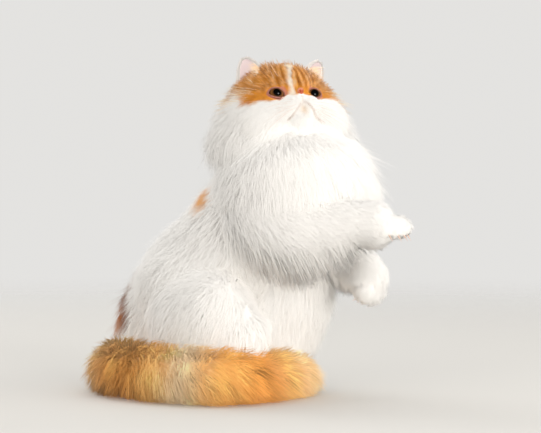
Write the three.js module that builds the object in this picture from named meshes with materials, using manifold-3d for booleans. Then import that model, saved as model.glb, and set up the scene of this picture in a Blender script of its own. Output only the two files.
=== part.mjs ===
// A Persian cat at life size, sitting up on its haunches with both forepaws raised, its head turned
// to its right and tipped up, and its plume of a tail laid round its right side on the floor.
// Millimetres. +X is where the body faces, +Y is the cat's left and +Z is up. The origin is on the
// floor, on the flat where the rump rests.
import * as THREE from "three";
import { mergeVertices } from "three/addons/utils/BufferGeometryUtils.js";
import Module from "manifold-3d";

const wasm = await Module();
wasm.setup();

// Driving dimensions
const GAP = 0.35; // clearance between two nodes that touch
const FLOOR_BLOCK = 2000; // edge of the block that flattens what meets the floor
const CORE = 0.5; // share of the coat's depth that is solid under the locks
const FACE_YAW = -35; // degrees that the face turns from +X
const FACE_PITCH = 27; // degrees that the face tips up
const HEAD_CENTRE = [148.5, 3, 342];
const HEAD_FACETS = [30, 16];
const HEAD_CROWDING = 1.4; // how much closer the rings lie on the face than on the nape
const HEAD_COAT = { face: 3, crown: 9, cheek: 24 };
const EYE_RADIUS = 11.5;
const EYE_SEAT = [27, 24, 7.5]; // forward, left and up of the head's centre
const EYE_FACETS = 12;
const LID = 2; // thickness of an eyelid
const LID_OPENING = [10.2, 8.2]; // half width and half height of the open eye
const EAR_ROOT = [2, 36, 38];
const EAR_TIP = [12, 47, 66];
const EAR_WALL = 2.4;
const NOSE_SEAT = [47.5, 0, 3.5];
const NOSTRIL = 1.6; // radius of a nostril's opening
const MOUTH_GROOVE = 1.3; // radius of the cut that draws the mouth
const TOE_RADIUS = 8.2;
const TOE_PLACES = [-1.5, -0.5, 0.5, 1.5];
const TAIL_RADIUS = 9; // flesh and bone alone
const LOCK_SIDES = 3;
const LOCK_RINGS = 2;
const ROOT_SINK = 9; // how deep a lock's root goes into the core

// Each coat of locks: rows along the form and columns round it, the stretch that carries them, the
// length, half width and half thickness of a lock, which way it flows along the form, how much it
// hangs, and the seed of its variation.
const LOCKS = {
  torso: {
    rows: 4, columns: 10, span: [0.06, 0.82],
    length: 104, wide: 27, thick: 8,
    flow: -1, droop: 0.3, seed: 11,
  },
  ruff: {
    rows: 3, columns: 12, span: [0.14, 0.86],
    length: 88, wide: 30, thick: 9,
    flow: -1, droop: 0.3, seed: 23,
  },
  mane: {
    rows: 2, columns: 11, span: [0.2, 0.9],
    length: 76, wide: 25, thick: 8,
    flow: -1, droop: 0.2, seed: 31,
  },
  head: {
    rows: 1, columns: 13, span: [0.46, 0.7],
    length: 44, wide: 16, thick: 5,
    flow: 1, droop: 0.5, seed: 37,
  },
  thigh: {
    rows: 3, columns: 7, span: [0.1, 0.9],
    length: 84, wide: 28, thick: 8,
    flow: 1, droop: 0.9, seed: 41,
  },
  shank: {
    rows: 1, columns: 6, span: [0.25, 0.7],
    length: 56, wide: 20, thick: 6,
    flow: 1, droop: 0.6, seed: 53,
  },
  foreleg: {
    rows: 3, columns: 6, span: [0.08, 0.8],
    length: 74, wide: 22, thick: 7,
    flow: 1, droop: 0.7, seed: 61,
  },
  tail: {
    rows: 3, columns: 6, span: [0.1, 0.92],
    length: 76, wide: 23, thick: 8,
    flow: 1, droop: 0.2, seed: 71,
  },
};

const point = (x = 0, y = 0, z = 0) => new THREE.Vector3(x, y, z);
const radians = THREE.MathUtils.degToRad;
const mix = THREE.MathUtils.lerp;
const clamp = THREE.MathUtils.clamp;
const both = (build) => ({ left: build(1), right: build(-1) });

// Random numbers from -1 to 1 that are the same on every run.
function seeded(seed) {
  let state = seed;
  return () => {
    state = (state * 1664525 + 1013904223) % 4294967296;
    return (2 * state) / 4294967296 - 1;
  };
}

// A closed three.js geometry as a solid that can be joined and cut.
function solidFrom(geometry) {
  const bare = new THREE.BufferGeometry();
  bare.setAttribute("position", geometry.getAttribute("position"));
  bare.setIndex(geometry.index);
  const merged = mergeVertices(bare, 1e-3);
  return new wasm.Manifold(
    new wasm.Mesh({
      numProp: 3,
      vertProperties: merged.attributes.position.array,
      triVerts: new Uint32Array(merged.index.array),
    }),
  );
}

// A solid as a three.js geometry.
function geometryFrom(solid) {
  const mesh = solid.getMesh();
  const geometry = new THREE.BufferGeometry();
  geometry.setAttribute("position", new THREE.BufferAttribute(mesh.vertProperties, 3));
  geometry.setIndex(new THREE.BufferAttribute(mesh.triVerts, 1));
  return geometry;
}

const joined = (solids) => solids.reduce((whole, solid) => whole.add(solid));
const cutBy = (solid, cuts) => cuts.reduce((left, cut) => left.subtract(cut), solid);

// The largest of the bodies that a cut leaves.
function largest(solid) {
  return solid.decompose().reduce((best, body) => (body.volume() > best.volume() ? body : best));
}

// The points of a geometry moved to where place puts them.
function reshaped(geometry, place) {
  const position = geometry.getAttribute("position");
  const at = point();
  for (let i = 0; i < position.count; i++) {
    at.fromBufferAttribute(position, i);
    const placed = place(at);
    position.setXYZ(i, placed.x, placed.y, placed.z);
  }
  return geometry;
}

// One lock of a coat: a flat blade with a ridge, bent along a curve and tapered to its tip. up is
// the way out of the coat.
function lock(bend, up, wide, thick, grow) {
  const blade = new THREE.ConeGeometry(1, 1, LOCK_SIDES, LOCK_RINGS);
  reshaped(blade, ({ x, y, z }) => {
    const share = y + 0.5;
    const rest = Math.max(1 - share, 1e-6);
    const along = bend.getTangent(share);
    const across = point().crossVectors(along, up).normalize();
    const out = point().crossVectors(across, along);
    const full = Math.min(1, 0.75 + share) * (1 - share ** 2.4);
    const at = bend.getPoint(share).addScaledVector(along, (4 * share - 1) * grow);
    at.addScaledVector(across, (x / rest) * (wide * full + 2 * grow) * (share < 1 ? 1 : 0));
    return at.addScaledVector(out, (z / rest) * (thick * full + 2 * grow) * (share < 1 ? 1 : 0));
  });
  return solidFrom(blade);
}

// What a part of the body has in common: an outline that surface(share, angle, core, grow) gives,
// where core is the share of the coat's depth, a solid, and locks that lie along it.
class Coated {
  solid(core = CORE, grow = 0) {
    const build = (turn) =>
      solidFrom(
        reshaped(new THREE.SphereGeometry(1, ...this.facets), ({ x, y, z }) =>
          this.surface((1 - clamp(y, -1, 1)) / 2, turn * Math.atan2(z, x), core, grow),
        ),
      );
    const solid = build(1);
    return solid.volume() > 0 ? solid : build(-1);
  }

  // The change of share and angle that moves a place on the outline by about a given vector.
  step(share, angle, move) {
    const nudge = 0.01;
    const here = this.surface(share, angle, 1);
    const lengthwise = this.surface(share + nudge, angle, 1).sub(here).divideScalar(nudge);
    const around = this.surface(share, angle + nudge, 1).sub(here).divideScalar(nudge);
    const [a, b, c] = [lengthwise.lengthSq(), lengthwise.dot(around), around.lengthSq()];
    const [d, e] = [lengthwise.dot(move), around.dot(move)];
    const scale = a * c - b * b + 1e-6;
    const next = clamp(share + clamp((d * c - e * b) / scale, -0.2, 0.2), 0.02, 0.98);
    return [next, angle + clamp((a * e - b * d) / scale, -0.5, 0.5)];
  }

  // Three such steps, one after the other.
  path(share, angle, move) {
    const first = this.step(share, angle, move);
    const second = this.step(...first, move);
    return [first, second, this.step(...second, move)];
  }

  // The locks of the coat, in staggered rows. keep(point, core) says whether one there would show
  // past that share of the other forms' coats.
  locks({ rows, columns, span, length, wide, thick, flow, droop, seed }, keep, grow) {
    const vary = seeded(seed);
    const made = [];
    for (let row = 0; row < rows; row++) {
      for (let column = 0; column < columns; column++) {
        const share = mix(...span, (row + 0.5 + 0.22 * vary()) / rows);
        const angle = (2 * Math.PI * (column + (row % 2) / 2 + 0.18 * vary())) / columns;
        const size = 1 + 0.16 * vary();
        const lift = 0.1 * vary();
        const ahead = this.surface(share + 0.01, angle, 1).sub(this.surface(share - 0.01, angle, 1));
        const lie = ahead.normalize().multiplyScalar(flow).add(point(0.1 * vary(), 0.1 * vary(), -droop));
        const move = lie.normalize().multiplyScalar((length * size) / 3);
        if (!keep(this.surface(share, angle, 0.9))) continue;
        const free = this.path(share, angle, move);
        const clear = keep(this.surface(...free[2], 1), 0.4);
        const [first, second, third] = clear ? free : this.path(share, angle, move.multiplyScalar(0.6));
        if (!keep(this.surface(...second, 1), 0.4)) continue;
        const bend = new THREE.CatmullRomCurve3([
          this.surface(share, angle, CORE, -ROOT_SINK),
          this.surface(...first, 0.88),
          this.surface(...second, 0.96),
          this.surface(...third, 0.98 + lift),
        ]);
        const up = this.surface(...first, 1).sub(this.surface(...first, 0)).normalize();
        made.push(lock(bend, up, wide * size, thick * size, grow));
      }
    }
    // One that folds back over itself is left out.
    return made.filter((solid) => solid.volume() > 0);
  }
}

// A rounded form along a smooth spine. Each station has its place, its half width along side, its
// half depth across that, and the depth of the coat there. caps are the shares of the spine's
// length that the two rounded ends take.
class Form extends Coated {
  constructor({ stations, side, caps = [0.22, 0.22], facets = [14, 10] }) {
    super();
    this.stations = stations.map(([x, y, z, ...sizes]) => [point(x, y, z), ...sizes]);
    this.side = point(...side).normalize();
    this.caps = caps;
    this.facets = facets;
    this.spine = new THREE.CatmullRomCurve3(this.stations.map(([at]) => at));
  }

  // Half width, half depth and coat at a share of the length, eased from station to station.
  sizes(share) {
    const last = this.stations.length - 1;
    const before = Math.min(Math.floor(share * last), last - 1);
    const part = THREE.MathUtils.smoothstep(share * last - before, 0, 1);
    return [1, 2, 3].map((i) => mix(this.stations[before][i], this.stations[before + 1][i], part));
  }

  // How round the end is here: 0 at the tip, 1 past the cap.
  round(share) {
    const from = Math.min(1, share / this.caps[0]);
    const to = Math.min(1, (1 - share) / this.caps[1]);
    return Math.sqrt(1 - (1 - from) ** 2) * Math.sqrt(1 - (1 - to) ** 2);
  }

  frame(share) {
    const along = this.spine.getTangent(share);
    const side = this.side.clone().addScaledVector(along, -this.side.dot(along)).normalize();
    return { at: this.spine.getPoint(share), along, side, out: point().crossVectors(along, side) };
  }

  surface(share, angle, core, grow = 0) {
    const { at, along, side, out } = this.frame(clamp(share, 0, 1));
    const [wide, deep, coat] = this.sizes(clamp(share, 0, 1));
    const round = this.round(clamp(share, 0, 1));
    const skin = coat * core + grow;
    at.addScaledVector(along, (share < 0.5 ? -1 : 1) * skin * (1 - round));
    at.addScaledVector(side, (wide + skin) * round * Math.cos(angle));
    return at.addScaledVector(out, (deep + skin) * round * Math.sin(angle));
  }

  // Whether a point lies under a share of the coat.
  holds(place, core) {
    let nearest = null;
    for (let share = 0.02; share < 1; share += 0.04) {
      const { at, along, side, out } = this.frame(share);
      const away = place.clone().sub(at);
      const [wide, deep, coat] = this.sizes(share);
      const round = this.round(share);
      const across = away.dot(side) / ((wide + coat * core) * round);
      const down = away.dot(out) / ((deep + coat * core) * round);
      const off = Math.abs(away.dot(along));
      if (!nearest || off < nearest.off) nearest = { off, ratio: across ** 2 + down ** 2 };
    }
    return nearest.off < 12 && nearest.ratio < 1;
  }
}

// The frame of the head: forward out of the face, left and up.
const FACE = new THREE.Matrix4()
  .makeRotationZ(radians(FACE_YAW))
  .multiply(new THREE.Matrix4().makeRotationY(radians(-FACE_PITCH)))
  .setPosition(...HEAD_CENTRE);
const onHead = (forward, left, up) => point(forward, left, up).applyMatrix4(FACE);
const headAxis = (forward, left, up) => point(forward, left, up).transformDirection(FACE);

// A form whose stations are given in the head's frame.
function headForm({ stations, side, ...rest }) {
  const placed = stations.map(([f, l, u, ...sizes]) => [...onHead(f, l, u).toArray(), ...sizes]);
  return new Form({ stations: placed, side: headAxis(...side).toArray(), ...rest });
}

// The lobes of the skull and face, in the head's frame: centre, then half sizes.
const mirrored = ([f, l, u, ...sizes]) => [[f, l, u, ...sizes], [f, -l, u, ...sizes]];
const LOBES = [
  [-6, 0, 4, 46, 48, 48], // skull and nape
  [12, 0, 22, 29, 34, 29], // forehead
  ...mirrored([6, 27, -12, 30, 29, 27]), // cheeks
  ...mirrored([30, 11.5, -11, 18, 14, 14]), // whisker pads
  [29, 0, -2, 17.5, 8, 10], // bridge under the nose leather
  [24, 0, -26, 20, 14, 13], // chin
];
const LOBE_BLEND = 2.2; // millimetres over which the lobes run into one another
const SOCKET = { depth: 4.5, spread: 0.23 }; // hollow round each eye

// How far a ray from the head's centre goes before it leaves a lobe.
function lobeExit(ray, [f, l, u, deep, wide, high]) {
  const start = point(-f / deep, -l / wide, -u / high);
  const pace = point(ray.x / deep, ray.y / wide, ray.z / high);
  const a = pace.lengthSq();
  const b = start.dot(pace);
  const root = b * b - a * (start.lengthSq() - 1);
  return root < 0 ? 0 : (Math.sqrt(root) - b) / a;
}

// The radius of the bare head along a ray in its own frame.
function headRadius(ray) {
  const swell = LOBES.reduce((sum, lobe) => sum + Math.exp(lobeExit(ray, lobe) / LOBE_BLEND), 0);
  const hollow = [1, -1].reduce((sum, hand) => {
    const eye = point(EYE_SEAT[0], hand * EYE_SEAT[1], EYE_SEAT[2]).normalize();
    return sum + SOCKET.depth * Math.exp(-((ray.angleTo(eye) / SOCKET.spread) ** 2));
  }, 0);
  return LOBE_BLEND * Math.log(swell) - hollow;
}

// The depth of the fur along a ray: short on the face, deep on the cheeks and nape.
function headCoat(ray) {
  const back = THREE.MathUtils.smoothstep(Math.acos(ray.x), 0.75, 1.75);
  const low = THREE.MathUtils.smoothstep(-ray.z, -0.75, 0.1);
  return mix(HEAD_COAT.face, mix(HEAD_COAT.crown, HEAD_COAT.cheek, low), back);
}

// A point of the face along a ray given by its slopes to the left and up.
function facePoint(left, up, lift) {
  const ray = point(1, left, up).normalize();
  return ray.multiplyScalar(headRadius(ray) + lift).applyMatrix4(FACE);
}

class Skull extends Coated {
  constructor() {
    super();
    this.facets = HEAD_FACETS;
  }

  // The outline at a tilt from the nose and an angle round it, with the face's short fur whole.
  surface(share, angle, core, grow = 0) {
    const tilt = Math.PI * (Math.acos(1 - 2 * clamp(share, 0, 1)) / Math.PI) ** HEAD_CROWDING;
    const ray = point(Math.cos(tilt), Math.sin(tilt) * Math.sin(angle), Math.sin(tilt) * Math.cos(angle));
    const coat = headCoat(ray);
    const short = Math.min(coat, HEAD_COAT.face);
    return ray.multiplyScalar(headRadius(ray) + short + (coat - short) * core + grow).applyMatrix4(FACE);
  }
}
const SKULL = new Skull();

function ball(centre, radius) {
  const geometry = new THREE.SphereGeometry(radius, EYE_FACETS, EYE_FACETS - 4);
  return solidFrom(geometry.translate(...centre.toArray()));
}

const eyeCentre = (hand) => onHead(EYE_SEAT[0], hand * EYE_SEAT[1], EYE_SEAT[2]);
const eyeball = (hand, grow) => ball(eyeCentre(hand), EYE_RADIUS + grow);

// The lids of one eye: a shell over the ball, opened by an oval cone that widens to the front.
function lids(hand) {
  const reach = EYE_RADIUS + 12;
  const cone = new THREE.CylinderGeometry(reach, 0.1, reach, 16).translate(0, reach / 2, 0);
  const across = headAxis(hand * 0.16, -1, 0);
  const ahead = headAxis(1, hand * 0.16, 0);
  const [wide, high] = LID_OPENING.map((half) => half / EYE_RADIUS);
  const basis = new THREE.Matrix4().makeBasis(across, ahead, point().crossVectors(across, ahead));
  cone.scale(wide, 1, high).applyMatrix4(basis.setPosition(eyeCentre(hand)));
  return { hood: ball(eyeCentre(hand), EYE_RADIUS + LID), opening: solidFrom(cone) };
}

const noseLeather = (grow) =>
  headForm({
    stations: [
      [NOSE_SEAT[0] - 7, 0, NOSE_SEAT[2] - 2, 5 + grow, 4 + grow, 0],
      [NOSE_SEAT[0] - 2, 0, NOSE_SEAT[2], 6.4 + grow, 4.6 + grow, 0],
      [NOSE_SEAT[0] + 2.5, 0, NOSE_SEAT[2] - 0.5, 5.6 + grow, 3.8 + grow, 0],
    ],
    side: [0, 1, 0],
    caps: [0.3, 0.45],
    facets: [12, 8],
  }).solid(0);

const nostril = (hand) =>
  headForm({
    stations: [
      [NOSE_SEAT[0] - 1, hand * 2.4, NOSE_SEAT[2] - 1.5, NOSTRIL, NOSTRIL * 0.7, 0],
      [NOSE_SEAT[0] + 2.5, hand * 3.2, NOSE_SEAT[2] - 1.2, NOSTRIL, NOSTRIL * 0.7, 0],
      [NOSE_SEAT[0] + 7, hand * 4.6, NOSE_SEAT[2] - 0.6, NOSTRIL, NOSTRIL, 0],
    ],
    side: [0, 1, 0],
    facets: [6, 6],
  }).solid(0);

const nose = (grow) => (grow > 0 ? noseLeather(grow) : cutBy(noseLeather(0), [nostril(1), nostril(-1)]));

// The cuts that draw the mouth: the groove under the nose, and a branch to each corner.
function mouth() {
  const size = [MOUTH_GROOVE, MOUTH_GROOVE, 0];
  const groove = (slopes) =>
    new Form({
      stations: slopes.map(([left, up]) => [...facePoint(left, up, HEAD_COAT.face).toArray(), ...size]),
      side: headAxis(0.3, 0.5, 0.8).toArray(),
      caps: [0.1, 0.25],
      facets: [5, 8],
    }).solid(0);
  const branch = (hand) =>
    groove([
      [0, -0.3],
      [hand * 0.16, -0.42],
      [hand * 0.36, -0.6],
      [hand * 0.52, -0.85],
    ]);
  return [groove([[0, 0], [0, -0.12], [0, -0.24], [0, -0.36]]), branch(1), branch(-1)];
}

// One ear: a rounded shell that stands out of the head, open to the front and side.
function ear(hand, grow) {
  const shell = (thin, forward) =>
    headForm({
      stations: [0, 0.35, 0.7, 1].map((share) => [
        mix(EAR_ROOT[0], EAR_TIP[0], share) + forward,
        hand * mix(EAR_ROOT[1], EAR_TIP[1], share),
        mix(EAR_ROOT[2], EAR_TIP[2], share),
        mix(16, 12, share) - thin,
        mix(10, 6, share) - thin * 0.6,
        0,
      ]),
      side: [-0.35, hand, -0.35],
      caps: [0.2, 0.55],
      facets: [12, 8],
    }).solid(0);
  return grow > 0 ? shell(-grow, 0) : shell(0, 0).subtract(shell(EAR_WALL, 7));
}

// Limbs and trunk, each station x, y, z, half width, half depth, coat.
const RUFF = new Form({
  stations: [
    [154, 6, 196, 58, 54, 28],
    [157, 6, 236, 62, 62, 46],
    [149, 4, 276, 54, 52, 50],
    [140, 3, 312, 42, 36, 46],
  ],
  side: [0, 1, 0],
  caps: [0.4, 0.4],
  facets: [16, 10],
});
const MANE = new Form({
  stations: [
    [137, 9, 268, 56, 30, 36],
    [136, 10, 304, 56, 30, 36],
    [134, 11, 340, 50, 26, 32],
    [132, 12, 374, 40, 20, 24],
  ],
  side: headAxis(0, 1, 0).toArray(),
  caps: [0.3, 0.45],
  facets: [14, 8],
});
const TORSO = new Form({
  stations: [
    [-10, 0, 3, 42, 42, 24],
    [-24, 0, 48, 50, 44, 26],
    [-4, 0, 90, 62, 54, 24],
    [34, 0, 134, 64, 60, 25],
    [76, 0, 178, 58, 59, 25],
    [112, 0, 222, 56, 58, 26],
    [136, 0, 258, 46, 46, 26],
  ],
  side: [0, 1, 0],
  caps: [0.1, 0.25],
  facets: [16, 12],
});
const THIGH = both(
  (hand) =>
    new Form({
      stations: [
        [2, hand * 44, 70, 34, 46, 20],
        [54, hand * 60, 90, 32, 48, 24],
        [104, hand * 70, 104, 26, 34, 26],
        [132, hand * 72, 104, 20, 24, 24],
      ],
      side: [0, 1, 0],
      caps: [0.35, 0.35],
    }),
);
const SHANK = both(
  (hand) =>
    new Form({
      stations: [
        [124, hand * 70, 104, 20, 24, 22],
        [118, hand * 60, 66, 20, 22, 22],
        [110, hand * 54, 32, 18, 20, 20],
      ],
      side: [0, 1, 0],
      facets: [12, 8],
    }),
);
const FORELEG = {
  right: new Form({
    stations: [
      [104, -52, 222, 26, 36, 16],
      [148, -60, 211, 20, 31, 18],
      [190, -56, 203, 17, 26, 19],
      [230, -44, 205, 15, 20, 17],
      [262, -36, 211, 14, 16, 11],
    ],
    side: [0, 1, 0],
    caps: [0.25, 0.15],
    facets: [14, 12],
  }),
  left: new Form({
    stations: [
      [106, 52, 216, 26, 36, 18],
      [140, 58, 196, 20, 28, 19],
      [174, 58, 177, 16, 20, 15],
      [206, 54, 163, 14, 14, 11],
      [230, 50, 152, 14, 14, 9],
    ],
    side: [0, 1, 0],
    caps: [0.25, 0.15],
    facets: [14, 12],
  }),
};
const PAW = {
  right: { from: [258, -37, 211], to: [302, -25, 206], down: [0.25, 0, -1], side: [0.25, 1, 0] },
  left: { from: [232, 50, 158], to: [236, 48, 122], down: [-1, 0, -0.1], side: [0, 1, 0] },
};
function palm({ from, to, side }) {
  const place = (share) => from.map((start, i) => mix(start, to[i], share));
  return new Form({
    stations: [0, 0.5, 1].map((share) => [...place(share), mix(19, 23, share), mix(20, 19, share), 0]),
    side,
    caps: [0.3, 0.5],
    facets: [10, 7],
  });
}
const PALM = { left: palm(PAW.left), right: palm(PAW.right) };

// A forepaw: the palm, and four toes across its end.
function forepaw(hand, grow) {
  const { from, to, down, side } = PAW[hand];
  const end = point(...to);
  const along = end.clone().sub(point(...from)).normalize();
  const under = point(...down).normalize();
  const across = point(...side).normalize();
  const toes = TOE_PLACES.map((place) => {
    const reach = -Math.abs(place) * 3.2;
    const root = end.clone().addScaledVector(across, place * 9.6).addScaledVector(along, reach);
    const knuckle = root.clone().addScaledVector(along, 9).addScaledVector(under, -1);
    const tip = root.clone().addScaledVector(along, 15).addScaledVector(under, 6);
    return new Form({
      stations: [root, knuckle, tip].map((at) => [...at.toArray(), TOE_RADIUS, TOE_RADIUS, 0]),
      side,
      facets: [6, 5],
    }).solid(0, grow);
  });
  return joined([PALM[hand].solid(0, grow), ...toes]);
}

// A hind foot flat on the floor, with its toes.
const SOLE = both(
  (hand) =>
    new Form({
      stations: [
        [8, hand * 50, 19, 20, 21, 0],
        [50, hand * 50, 16, 19, 18, 0],
        [92, hand * 50, 15, 21, 16, 0],
        [116, hand * 50, 13, 19, 13, 0],
      ],
      side: [0, 1, 0],
      caps: [0.2, 0.2],
      facets: [10, 8],
    }),
);
function hindFoot(hand, grow) {
  const side = hand === "left" ? 1 : -1;
  const toes = TOE_PLACES.map((place) => {
    const y = side * 50 + place * 8.6;
    const x = 120 - Math.abs(place) * 2.6;
    return new Form({
      stations: [
        [x - 8, y, 12, 7.5, 9.5, 0],
        [x, y, 11, 7.5, 9.5, 0],
        [x + 6, y, 8, 7, 8, 0],
      ],
      side: [0, 1, 0],
      facets: [6, 5],
    }).solid(0, grow);
  });
  return joined([SOLE[hand].solid(0, grow), ...toes]);
}

// The tail lies on the floor round the right haunch, and its tip passes in front of the feet. Each
// place on its path has the depth of the coat there.
const TAIL_PATH = [
  [-34, -14, 40, 18],
  [-56, -44, 34, 26],
  [-40, -80, 31, 30],
  [2, -103, 31, 31],
  [50, -116, 31, 31],
  [94, -117, 31, 31],
  [128, -100, 30, 30],
  [144, -66, 28, 28],
  [149, -28, 26, 27],
  [150, 10, 24, 26],
  [147, 46, 21, 24],
];
function tailSpan(from, to, blunt) {
  const sized = ([x, y, z, coat]) => [x, y, z, TAIL_RADIUS, TAIL_RADIUS, coat];
  return new Form({
    stations: TAIL_PATH.slice(from, to + 1).map(sized),
    side: [0, 0, 1],
    caps: [0.3, blunt],
    facets: [12, 10],
  });
}
const TAIL = { base: tailSpan(0, 3, 0.3), middle: tailSpan(2, 6, 0.3), tip: tailSpan(5, 10, 0.5) };

const FORMS = [
  RUFF,
  MANE,
  TORSO,
  ...[THIGH, SHANK, SOLE, FORELEG, PALM, TAIL].flatMap((pair) => Object.values(pair)),
];

// A form dressed in its locks, where no other part of the body hides them.
function dressed(form, coat, grow) {
  const others = FORMS.filter((other) => other !== form);
  const keep = (place, core = 0.8) => place.z > 4 && !others.some((other) => other.holds(place, core));
  return [form.solid(CORE, grow), ...form.locks(coat, keep, grow)];
}
const coated = (...pairs) => (grow) =>
  joined(pairs.flatMap(([form, coat]) => dressed(form, LOCKS[coat], grow)));

function head(grow) {
  const eyes = Object.values(both(lids));
  const keep = (place) => place.clone().sub(onHead(0, 0, 0)).dot(headAxis(0, 0, 1)) < 24;
  const cheeks = SKULL.locks(LOCKS.head, keep, grow);
  const whole = joined([SKULL.solid(CORE, grow), ...eyes.map((lid) => lid.hood), ...cheeks]);
  return grow > 0 ? whole : cutBy(whole, [...eyes.map((lid) => lid.opening), ...mouth()]);
}

// Everything below the floor is cut away, which leaves the flats that the cat rests on.
const below = solidFrom(
  new THREE.BoxGeometry(FLOOR_BLOCK, FLOOR_BLOCK, FLOOR_BLOCK).translate(0, 0, -FLOOR_BLOCK / 2),
);

// Name, finish and solid of each node for a given growth. A node is cut clear of those before it,
// so what lies on top comes first.
const NODES = [
  ["eye_left", "eye", (grow) => eyeball(1, grow)],
  ["eye_right", "eye", (grow) => eyeball(-1, grow)],
  ["nose", "nose", nose],
  ["ear_left", "ear", (grow) => ear(1, grow)],
  ["ear_right", "ear", (grow) => ear(-1, grow)],
  ["head", "red", head],
  ["neck_ruff", "white", coated([RUFF, "ruff"], [MANE, "mane"])],
  ["torso", "white", coated([TORSO, "torso"])],
  ["tail_base", "red", coated([TAIL.base, "tail"])],
  ["tail_middle", "red", coated([TAIL.middle, "tail"])],
  ["tail_tip", "red", coated([TAIL.tip, "tail"])],
  ["foreleg_left", "white", coated([FORELEG.left, "foreleg"])],
  ["foreleg_right", "white", coated([FORELEG.right, "foreleg"])],
  ["forepaw_left", "white", (grow) => forepaw("left", grow)],
  ["forepaw_right", "white", (grow) => forepaw("right", grow)],
  ["thigh_left", "white", coated([THIGH.left, "thigh"], [SHANK.left, "shank"])],
  ["thigh_right", "white", coated([THIGH.right, "thigh"], [SHANK.right, "shank"])],
  ["hindfoot_left", "white", (grow) => hindFoot("left", grow)],
  ["hindfoot_right", "white", (grow) => hindFoot("right", grow)],
];

const FINISHES = {
  white: { color: 0xf4efe8, roughness: 0.9, metalness: 0 },
  red: { color: 0xc98a4b, roughness: 0.9, metalness: 0 },
  ear: { color: 0xe6c8bc, roughness: 0.85, metalness: 0 },
  nose: { color: 0xd98c78, roughness: 0.6, metalness: 0 },
  eye: { color: 0x2b2622, roughness: 0.1, metalness: 0 },
};

const cat = new THREE.Group();
const placed = [];
for (const [name, finish, build] of NODES) {
  const whole = build(0).subtract(below);
  const clear = largest(cutBy(whole, placed));
  placed.push(build(GAP).add(whole));
  const mesh = new THREE.Mesh(geometryFrom(clear), new THREE.MeshStandardMaterial(FINISHES[finish]));
  mesh.name = name;
  cat.add(mesh);
}

export default cat;
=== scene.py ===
"""The looks of a life-size Persian cat, a still figure that sits up with both forepaws raised.

One skin lies inside the coat's outline. Over it grow tufts of solid mesh that follow the lie of the
coat, and the eyes, lids, nose, whiskers, claws and pads are pieces of their own. Metres, in the
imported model's frame: +X is where the body faces, +Y is the cat's left and +Z is up.
"""

import itertools
import logging
import math
from dataclasses import dataclass, field, fields
from enum import Enum
from functools import cached_property
from typing import Callable

import bmesh
import bpy
import numpy as np
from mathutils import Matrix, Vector
from mathutils.kdtree import KDTree


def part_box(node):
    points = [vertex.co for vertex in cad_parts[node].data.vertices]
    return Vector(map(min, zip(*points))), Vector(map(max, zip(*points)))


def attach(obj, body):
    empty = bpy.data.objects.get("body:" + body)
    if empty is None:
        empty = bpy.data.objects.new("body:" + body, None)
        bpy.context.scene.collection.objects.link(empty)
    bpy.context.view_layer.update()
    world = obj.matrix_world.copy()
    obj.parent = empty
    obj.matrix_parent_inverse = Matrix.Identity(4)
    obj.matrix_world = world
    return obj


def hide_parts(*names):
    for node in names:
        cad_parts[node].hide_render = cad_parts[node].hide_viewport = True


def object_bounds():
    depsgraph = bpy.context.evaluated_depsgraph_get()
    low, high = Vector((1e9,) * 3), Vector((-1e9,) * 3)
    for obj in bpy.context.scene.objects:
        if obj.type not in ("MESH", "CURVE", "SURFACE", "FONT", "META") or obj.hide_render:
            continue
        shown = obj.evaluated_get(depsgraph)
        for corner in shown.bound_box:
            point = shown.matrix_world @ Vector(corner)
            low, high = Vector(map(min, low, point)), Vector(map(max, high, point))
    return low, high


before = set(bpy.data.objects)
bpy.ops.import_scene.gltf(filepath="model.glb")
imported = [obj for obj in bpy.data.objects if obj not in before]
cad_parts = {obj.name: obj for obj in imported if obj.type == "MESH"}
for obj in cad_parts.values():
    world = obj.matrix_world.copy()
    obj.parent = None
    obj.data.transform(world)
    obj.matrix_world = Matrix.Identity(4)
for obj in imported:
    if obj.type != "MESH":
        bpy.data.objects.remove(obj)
CAD_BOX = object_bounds()
LOG = logging.getLogger("cat")

Array = np.ndarray
Colour = tuple[float, float, float]
Place = tuple[float, float, float]
Stops = tuple[tuple[float, ...], ...]

UP = np.array([0.0, 0.0, 1.0])
COLOUR = "coat_colour"  # the attribute that carries the markings on skin and coat
GAZE = "gaze"  # the attribute that carries an eye's own coordinates
SKIN = 0.45  # share of the coat's depth that lies under the skin, as felted undercoat
SINK = 0.14  # how much deeper than the skin a tuft's root sits, as a share of the coat
NUDGE = 0.01  # the step in share or angle over which a slope is taken
TUFT_PATCH = 0.003  # how wide a tuft's patch is on the bake's map
MAP_MARGIN = 0.03


class Side(Enum):
    """The cat's own left and right, as the sign of their place on the head's sideways axis."""

    LEFT = 1
    RIGHT = -1


class Slot(Enum):
    """The record's material slots."""

    EYE = "eye"
    NOSE = "nose_leather"
    EAR = "ear_fur"
    HEAD = "head_fur"
    WHITE = "white_fur"
    RED = "red_fur"


def linear(red: int, green: int, blue: int) -> Colour:
    """A colour of the screen, 0 to 255, as the light that Blender mixes."""
    shares = [value / 255 for value in (red, green, blue)]
    return tuple(s / 12.92 if s <= 0.04045 else ((s + 0.055) / 1.055) ** 2.4 for s in shares)


def unit(vectors: Array) -> Array:
    """Vectors at length one, along the last axis."""
    return vectors / np.maximum(np.linalg.norm(vectors, axis=-1, keepdims=True), 1e-12)


def dot(first: Array, second: Array) -> Array:
    """Scalar products along the last axis."""
    return np.einsum("...i,...i->...", first, second)


def smooth(low: float, high: float, value: Array) -> Array:
    """0 up to low, 1 from high on, and eased between them."""
    share = np.clip((value - low) / (high - low), 0.0, 1.0)
    return share * share * (3 - 2 * share)


def hill(*offsets: Array) -> Array:
    """1 in the middle, falling off smoothly: each offset is counted in widths of the hill."""
    return np.exp(-sum(np.square(offset) for offset in offsets))


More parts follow.
